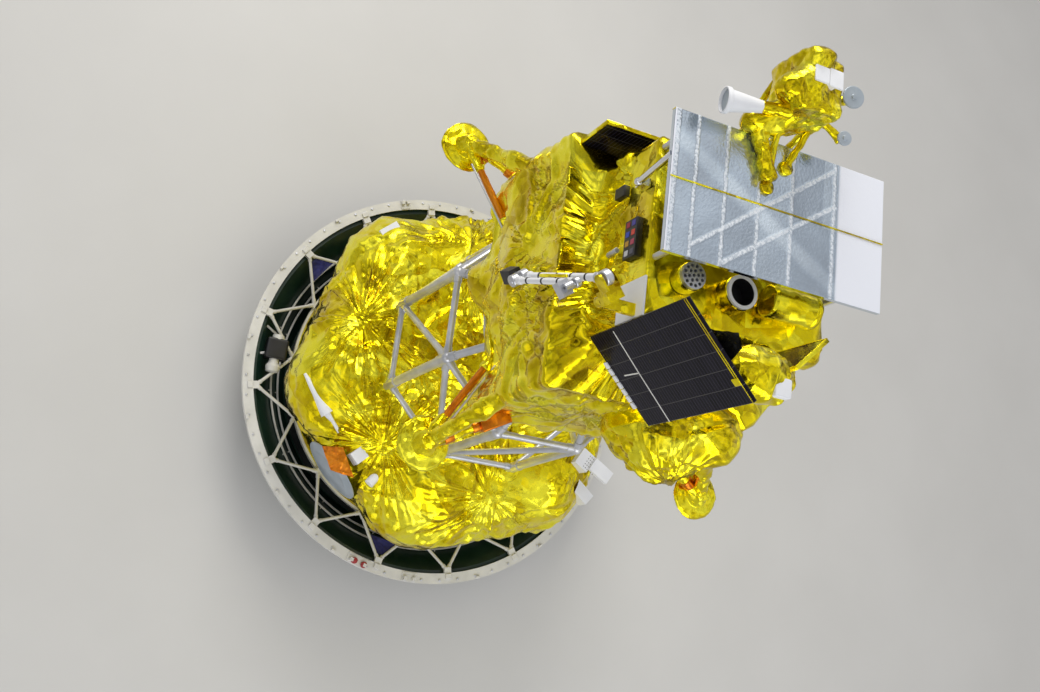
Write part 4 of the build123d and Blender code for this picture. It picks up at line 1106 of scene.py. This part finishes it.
height = RAD_TOP + 0.0015 + 0.0020 * seam + 0.0016 * cloud
rows = np.stack([(u - v) * DIAG, (u + v) * DIAG, height], -1)
edge_rows = [rows[:1] - np.array([0, 0, 0.004]), rows, rows[-1:] - np.array([0, 0, 0.004])]
panes = surface("radiator_panes", [patch(np.concatenate(edge_rows), False)], "stack", "silver_film", pane_glass)
marks = panes.data.color_attributes.new("marks", "FLOAT_COLOR", "POINT")
values = np.stack([tone, seam, tape, np.ones_like(tone)], -1)
values = np.concatenate([values[:1], values, values[-1:]])
marks.data.foreach_set("color", values.astype(np.float32).ravel())
middle_v = -0.205
line = [block(uv(-0.059, middle_v, RAD_TOP + 0.003), U_WAY, V_WAY, (1.484, 0.008, 0.006), 0.003, 0.0015)]
for side_v in (RAD_V[0] + 0.004, RAD_V[1] - 0.004):
    line.append(block(uv(-0.059, side_v, RAD_TOP - 0.030), U_WAY, V_WAY, (1.490, 0.007, 0.030), 0.003, 0.0015))
gold_piece("radiator_gold_edges", line)


# ---------------------------------------------------------------- solar panels


def panel(name, corner, a, b, size, body, replaces):
    """Cell panel: a slab whose map gives metres along a and b from its corner."""
    a, b = unit(a), unit(b)
    corner = np.array(corner, float)
    foot = corner + 0.5 * size[0] * a + 0.5 * size[1] * b
    points, quads, fans = block(foot, a, b, size, 0.004, 0.002)
    piece = surface(name, [(points, quads, fans)], body, "solar_cell", cell_glass, replaces)
    layer = piece.data.uv_layers.new(name="panel")
    index = np.concatenate([quads.ravel(), fans.ravel()])
    placed = points[index] - corner
    layer.data.foreach_set("uv", np.stack([placed @ a, placed @ b], -1).astype(np.float32).ravel())
    return piece


def on_panel(corner, a, b, lift, lines, width, thick):
    """Flat strips on a panel: each line is (a, b) start and (a, b) end in metres."""
    a, b = unit(a), unit(b)
    c = np.cross(a, b)
    out = []
    for start_a, start_b, end_a, end_b in lines:
        start = np.array(corner) + start_a * a + start_b * b + lift * c
        end = np.array(corner) + end_a * a + end_b * b + lift * c
        way = unit(end - start)
        size = (np.linalg.norm(end - start), width, thick)
        out.append(block((start + end) / 2, way, np.cross(c, way), size, 0.0015, 0.0006, 8))
    return out


# Front panel: a is up the stack and b is along +X, so its face looks along +Y
FRONT = dict(corner=(-0.543, 0.838, 5.200), a=(0, 0, 1), b=(1, 0, 0))
panel("front_panel_cells", **FRONT, size=(1.003, 0.631, 0.022), body="stack", replaces=("solar_panel_front",))
FRONT_SEAMS = [(0.256, 0.612, 0.242, 0.331), (0.242, 0.331, 0.232, 0.0), (0.242, 0.331, 0.094, 0.342)]
seams = on_panel(**FRONT, lift=0.0215, lines=FRONT_SEAMS, width=0.009, thick=0.002)
surface("front_panel_seams", seams, "stack", "white_ceramic", white_paint)
FRONT_EDGES = [(0.995, 0.0, 0.995, 0.631), (0.978, 0.15, 0.978, 0.631), (0.003, 0.0, 0.003, 0.631)]
gold_piece("front_panel_edges", on_panel(**FRONT, lift=0.021, lines=FRONT_EDGES, width=0.007, thick=0.003))
teeth = []
for index in range(7):
    x = 0.088 - 0.631 * (0.31 + 0.075 * index)
    teeth.append(block((x, 0.853, 5.200), (0, 0, 1), (1, 0, 0), (0.030, 0.042, 0.018), 0.004, 0.002, 12))
surface("front_panel_tabs", teeth, "stack", "white_ceramic", white_ceramic)
tab = block((-0.410, 0.861, 6.175), (0, 0, 1), (1, 0, 0), (0.055, 0.045, 0.006), 0.006, 0.002, 12)
gold_piece("front_panel_tape", [tab])

REAR = dict(corner=(-0.600, 0.430, 5.060), a=(0, 0, 1), b=(0, -1, 0))
panel("rear_panel_cells", **REAR, size=(1.040, 0.285, 0.022), body="stack", replaces=("solar_panel_rear",))
rim = [
    (0.004, 0.0, 0.004, 0.285), (1.036, 0.0, 1.036, 0.285), (0.0, 0.004, 1.04, 0.004), (0.0, 0.281, 1.04, 0.281)
]
gold_piece("rear_panel_edges", on_panel(**REAR, lift=-0.002, lines=rim, width=0.009, thick=0.026))

SIDE = dict(corner=uv(0.780, -0.760, 4.990), a=-U_WAY, b=UP)
panel("side_panel_cells", **SIDE, size=(1.480, 0.360, 0.022), body="stack", replaces=("solar_panel_side",))
rim = [(0.0, 0.356, 1.48, 0.356), (0.004, 0.0, 0.004, 0.36), (1.476, 0.0, 1.476, 0.36)]
rim += [(0.37, 0.0, 0.37, 0.36), (0.74, 0.0, 0.74, 0.36), (1.11, 0.0, 1.11, 0.36)]
gold_piece("side_panel_edges", on_panel(**SIDE, lift=-0.002, lines=rim, width=0.009, thick=0.026))


def shade_rows(corners, columns, count, sag):
    """Sheet between four corners: straight lines blended both ways, bellied by a sine of each."""
    across = np.linspace(0, 1, columns)[None, :, None]
    along = np.linspace(0, 1, count)[:, None, None]
    a, b, c, d = [np.array(corner, float) for corner in corners]
    rows = (1 - along) * ((1 - across) * a + across * b) + along * ((1 - across) * d + across * c)
    return rows + np.array(sag) * np.sin(math.pi * across) * np.sin(math.pi * along)


shade = shade_rows(
    [(-0.067, 0.81, 6.03), (-0.196, 0.77, 6.28), (-0.277, 0.77, 6.24), (-0.375, 0.81, 5.99)], 48, 48,
    (0, -0.02, 0),
)
shade = crumpled(shade, [(0.10, 0.012)], 121, False)
surface("panel_shade", both_sides(shade, (0, 0.004, 0)), "stack", "dark_membrane", black_film)


# ---------------------------------------------------------------- adapter ring and cone


def out_and_side(azimuth):
    """Directions outward from the stack's axis and round it at an azimuth."""
    return polar(1, azimuth, 0), polar(1, azimuth + 90, 0)


bolts = []
for index in range(RING_BOLTS):
    azimuth = (index + 0.5) * 360 / RING_BOLTS
    out, side = out_and_side(azimuth)
    bolts.append(block(polar(1.915, azimuth, RING_TOP), out, side, (0.024, 0.024, 0.012), 0.012, 0.002, 6))
surface("ring_bolts", bolts, "stack", "bare_alloy", bare_alloy)
clips = []
for index in range(APEXES):
    azimuth = 11.25 + index * 22.5
    out, side = out_and_side(azimuth)
    clips.append(block(polar(1.880, azimuth, RING_TOP), out, side, (0.050, 0.060, 0.018), 0.006, 0.003, 12))
    clips.append(block(polar(1.935, azimuth + 9, RING_TOP), out, side, (0.026, 0.040, 0.026), 0.006, 0.003, 12))
surface("ring_clips", clips, "stack", "white_paint", white_paint)

PLUG_PROFILE = [(0.003, 0), (0.030, 0), (0.030, 0.030), (0.003, 0.034)]
plugs = []
for azimuth in (116.8, 119.8):
    plugs.append(turned_patch(polar(1.915, azimuth, RING_TOP + 0.010), UP, PLUG_PROFILE, 20, 0.004))
surface("ring_connectors", plugs, "stack", "orange_wrap", red_rubber)

for number, apex in enumerate((0, 5)):
    azimuth = 11.25 + apex * 22.5
    head = polar(APEX_R - 0.03, azimuth, 0.700)
    feet = [polar(NODE_R + 0.02, azimuth + side * 11.25, NODE_Z + 0.02) for side in (-1, 1)]
    top = [head + 0.10 * (foot - head) for foot in feet]
    feet = [head + 0.55 * (foot - head) for foot in feet]
    rows = shade_rows([top[0], top[1], feet[1], feet[0]], 30, 30, (0, 0, -0.012))
    rows = crumpled(rows, [(0.09, 0.010)], 131 + number, False)
    surface(f"strut_cover_{number + 1}", both_sides(rows, (0, 0, -0.003)), "stack", "dark_membrane", blue_cloth)

# Purge valve box between two struts, with its white hose head
valve_at = polar(1.655, 44, 0.600)
out, side = out_and_side(44)
valve = block(valve_at, out, side, (0.20, 0.20, 0.12), 0.02, 0.010, 24)
surface("valve_box", [valve], "stack", "dark_membrane", black_paint)
HOSE_PROFILE = [
    (0.01, -0.25), (0.055, -0.25), (0.060, -0.20), (0.045, 0.02), (0.070, 0.06), (0.060, 0.11), (0.01, 0.12),
]
valve_parts = [
    turned_patch(valve_at + 0.11 * side + 0.06 * UP, side, HOSE_PROFILE, 28, 0.006),
    rod(polar(1.60, 44, 0.62), polar(1.80, 46, 0.63), 0.012),
    rod(polar(1.60, 40, 0.61), polar(1.80, 37, 0.63), 0.012),
]
surface("valve_parts", valve_parts, "stack", "white_paint", white_paint)


# ---------------------------------------------------------------- instruments and small pieces

# Black bore of the ring tube, and the film round that tube and the one beside it
RING_TUBE = (0.050, 0.262)
bore = turned_patch(uv(*RING_TUBE, 5.690), UP, [(0.01, 0), (0.078, 0), (0.078, 0.004), (0.01, 0.004)], 40)
lining = turned_rows(uv(*RING_TUBE, 0), UP, [(0.0785, 5.690), (0.0785, 5.800)], 48)[::-1]
surface("ring_tube_lining", [bore, patch(lining)], "stack", "dark_membrane", black_paint)
sleeves = []
for at, profile, columns, salt in (
    (RING_TUBE, [(0.104, 5.682), (0.106, 5.70), (0.105, 5.785), (0.100, 5.790)], 48, 161),
    ((0.373, 0.243), [(0.083, 5.682), (0.085, 5.70), (0.084, 5.765), (0.079, 5.770)], 44, 163),
):
    sleeves.append(crumpled(turned_rows(uv(*at, 0), UP, finer(profile, 0.01), columns), [(0.06, 0.006)], salt))
gold_piece("instrument_sleeves", [patch(rows) for rows in sleeves])

# Squares of the colour target, in two rows on the +U face's frame
board = block(uv(0.600, 0.015, 5.5175), V_WAY, UP, (0.236, 0.131, 0.0425), 0.004, 0.002)
surface("target_frame", [board], "stack", "dark_membrane", black_paint)
for index, material in enumerate(target_colours):
    column, row = index % 4, index // 4
    foot = uv(0.642, -0.073 + 0.058 * column, 5.488 + 0.060 * row)
    tile = block(foot, V_WAY, UP, (0.034, 0.038, 0.003), 0.003, 0.001, 12)
    surface(f"target_tile_{index + 1}", [tile], "stack", "white_ceramic", material)

# Holes of the perforated face on the -X side box
holes = []
out, side = out_and_side(-165.5)
for row in range(6):
    for column in range(5):
        spot = polar(1, -166, 0) * (1.318 + 0.023 * row) + side * (-0.060 + 0.030 * column) + 1.9252 * UP
        holes.append(block(spot, out, side, (0.010, 0.010, 0.001), 0.005, 0.0003, 6))
surface("box_holes", holes, "stack", "dark_membrane", black_paint)


def arm_point(x, y, z):
    """Point in the arm's own frame: x outward in its plane, y along its hinges, z up."""
    return SHOULDER + np.array([
        x * math.cos(ARM_AZ) - y * math.sin(ARM_AZ), x * math.sin(ARM_AZ) + y * math.cos(ARM_AZ), z,
    ])


def along_link(reach, y=0.0, off=0.0):
    """Point on the upper link: reach from the shoulder, y along the hinge, off square to both."""
    sin, cos = math.sin(ARM_LEAN), math.cos(ARM_LEAN)
    return arm_point(reach * sin + off * cos, y, -reach * cos + off * sin)


link_way = along_link(1.0) - along_link(0.0)
hinge_way = arm_point(0, 1, 0) - SHOULDER


def tube_along(start, end, y, radius, columns=28):
    """Link tube with a stepped socket at each end, between two reaches from the shoulder."""
    long = abs(end - start)
    way = link_way if end > start else -link_way
    half = [(0.006, 0), (radius + 0.004, 0), (radius + 0.007, 0.01), (radius + 0.007, 0.045), (radius, 0.055)]
    return turned_patch(along_link(start, y), way, mirrored(half, long), columns, 0.003)


def barrel(reach, y, radius, long):
    """Hinge barrel across the link with a stepped cap on each end."""
    half = [(0.004, 0), (0.4 * radius, 0), (0.45 * radius, 0.006), (radius - 0.004, 0.006), (radius, 0.012)]
    return turned_patch(along_link(reach, y), hinge_way, mirrored(half, long), 36, 0.0015)


def rings_on(y, radius, reaches, long):
    """Thin bands round a link tube at the given reaches."""
    profile = mirrored([(radius - 0.004, 0), (radius, 0)], long)
    return [turned_patch(along_link(reach, y), link_way, profile, 28, 0.001) for reach in reaches]


# Reaches are distances from the shoulder along the upper link, with the arm folded as in the photo
ELBOW_REACH, WRIST_REACH, WINDOW_REACH = 0.82, 0.18, 1.006
UPPER_TUBE_R, FOREARM_TUBE_R, SOCKET_R = 0.022, 0.018, 0.018
FOREARM_Y = 0.070
surface(
    "upper_link_tube", [tube_along(0.045, 0.785, 0, UPPER_TUBE_R)], "upper_link", "white_ceramic",
    white_ceramic, ("arm_upper_link",),
)
hubs = [
    barrel(0.0, -0.030, 0.046, 0.060), barrel(ELBOW_REACH, -0.034, 0.040, 0.066),
    tube_along(0.845, 0.905, 0, SOCKET_R),
]
hubs += rings_on(0, 0.030, (0.052, 0.742), 0.026)
surface("upper_link_hubs", hubs, "upper_link", "bare_alloy", bare_alloy)
surface(
    "upper_link_bands", rings_on(0, 0.0245, (0.16, 0.30, 0.44, 0.62), 0.014), "upper_link", "dark_membrane",
    black_paint,
)
surface(
    "forearm_tube", [tube_along(0.785, 0.215, FOREARM_Y, FOREARM_TUBE_R)], "forearm", "white_ceramic",
    white_ceramic, ("arm_forearm",),
)
hubs = [barrel(ELBOW_REACH, 0.038, 0.038, 0.064), barrel(WRIST_REACH, 0.046, 0.030, 0.048)]
surface("forearm_hubs", hubs, "forearm", "bare_alloy", bare_alloy)
surface(
    "forearm_bands", rings_on(FOREARM_Y, 0.0205, (0.26, 0.34, 0.50, 0.66), 0.014), "forearm", "dark_membrane",
    black_paint,
)
wrap = wrapped_bar(
    along_link(0.32, 0.024, 0.016), along_link(0.60, 0.024, 0.016),
    [(0.004, 0), (0.010, 0.02), (0.010, 0.98), (0.004, 1)], [(0.03, 0.003)], 141, 16,
)
surface("upper_link_wrap", [closed(wrap)], "upper_link", "gold_film", fine_gold_film)
lens = turned_patch(
    along_link(WINDOW_REACH), link_way,
    [(0.004, 0), (0.030, 0), (0.030, 0.004), (0.024, 0.005), (0.004, 0.006)], 28, 0.001,
)
surface("arm_camera_window", [lens], "upper_link", "dark_membrane", polished_alloy)

# Orange sheet on the stage's film beside the dish
sheet = shade_rows(
    [(0.140, 1.458, 1.740), (0.246, 1.581, 1.660), (0.034, 1.635, 1.650), (-0.133, 1.526, 1.720)], 36, 36,
    (0, 0, 0.012),
)
sheet = crumpled(sheet, [(0.08, 0.010)], 171, False)
surface("dish_orange_sheet", both_sides(sheet, (0, 0, -0.004)), "stack", "orange_wrap", orange_film)

# Small bracket and canister on the upper body
bracket = block(uv(0.600, -0.334, 5.332), V_WAY, UP, (0.070, 0.110, 0.040), 0.006, 0.003)
surface("side_bracket", [bracket], "stack", "dark_membrane", black_paint)
canister = rod(uv(0.640, 0.050, 5.275), uv(0.640, 0.045, 5.375), 0.017, 24)
surface("side_canister", [canister], "stack", "bare_alloy", bare_alloy)


# ---------------------------------------------------------------- floor, world, lamps, camera


def floor_and_world():
    """Pale floor with the object's shadow, and a soft grey hall with lighter and darker parts."""
    mesh = bpy.data.meshes.new("floor")
    half = 60.0
    mesh.from_pydata(
        [(-half, -half, 0), (half, -half, 0), (half, half, 0), (-half, half, 0)], [], [(0, 1, 2, 3)]
    )
    floor = bpy.data.objects.new("floor", mesh)
    bpy.context.scene.collection.objects.link(floor)
    dress(floor, plain("floor", ((0.60, 0.59, 0.56), (0.63, 0.62, 0.59)), 0.0, (0.6, 0.7), 0.6, 20.0, 0.0005))
    world = bpy.data.worlds.new("hall")
    bpy.context.scene.world = world
    world.use_nodes = True
    tree = world.node_tree
    background = tree.nodes["Background"]
    place = node(tree, "ShaderNodeTexCoord").outputs["Generated"]
    clouds = noise(tree, place, Scale=1.9, Detail=2.0, Roughness=0.55)
    sky = spread(tree, clouds.outputs["Fac"], [
        (0.34, (0.16, 0.16, 0.17)), (0.46, (0.52, 0.52, 0.54)), (0.56, (0.82, 0.82, 0.84)), (0.66, (1.25, 1.24, 1.22)),
    ])
    tree.links.new(sky, background.inputs["Color"])
    background.inputs["Strength"].default_value = 0.95


def lamp(name, place, aim, size, power, colour=(1, 1, 1)):
    """Square area lamp that faces a point."""
    data = bpy.data.lights.new(name, "AREA")
    data.size = size
    data.energy = power
    data.color = colour
    made = bpy.data.objects.new(name, data)
    way = np.array(aim, float) - np.array(place, float)
    side = np.cross(way, (0.1, 0.2, 1.0))
    side /= np.linalg.norm(side)
    back = -way / np.linalg.norm(way)
    top = np.cross(back, side)
    made.matrix_world = Matrix(
        [(*row, place[i]) for i, row in enumerate(np.stack([side, top, back], 1))] + [(0, 0, 0, 1)]
    )
    bpy.context.scene.collection.objects.link(made)


floor_and_world()
lamp("key", (7.0, -4.0, 9.5), (0, 0, 3.5), 5.0, 620, (1.0, 0.98, 0.94))
lamp("fill", (-6.0, 5.0, 8.0), (0, 0, 3.5), 6.0, 260, (0.93, 0.96, 1.0))

camera_data = bpy.data.cameras.new("camera")
camera_data.lens = LENS_MM
camera_data.sensor_width = 36
camera = bpy.data.objects.new("camera", camera_data)
axes = np.stack([CAMERA_RIGHT, [-c for c in CAMERA_DOWN], [-c for c in CAMERA_FORWARD]], 1)
camera.matrix_world = Matrix([(*row, CAMERA_AT[i]) for i, row in enumerate(axes)] + [(0, 0, 0, 1)])
bpy.context.scene.collection.objects.link(camera)
bpy.context.scene.camera = camera
bpy.context.scene.view_settings.view_transform = "Standard"
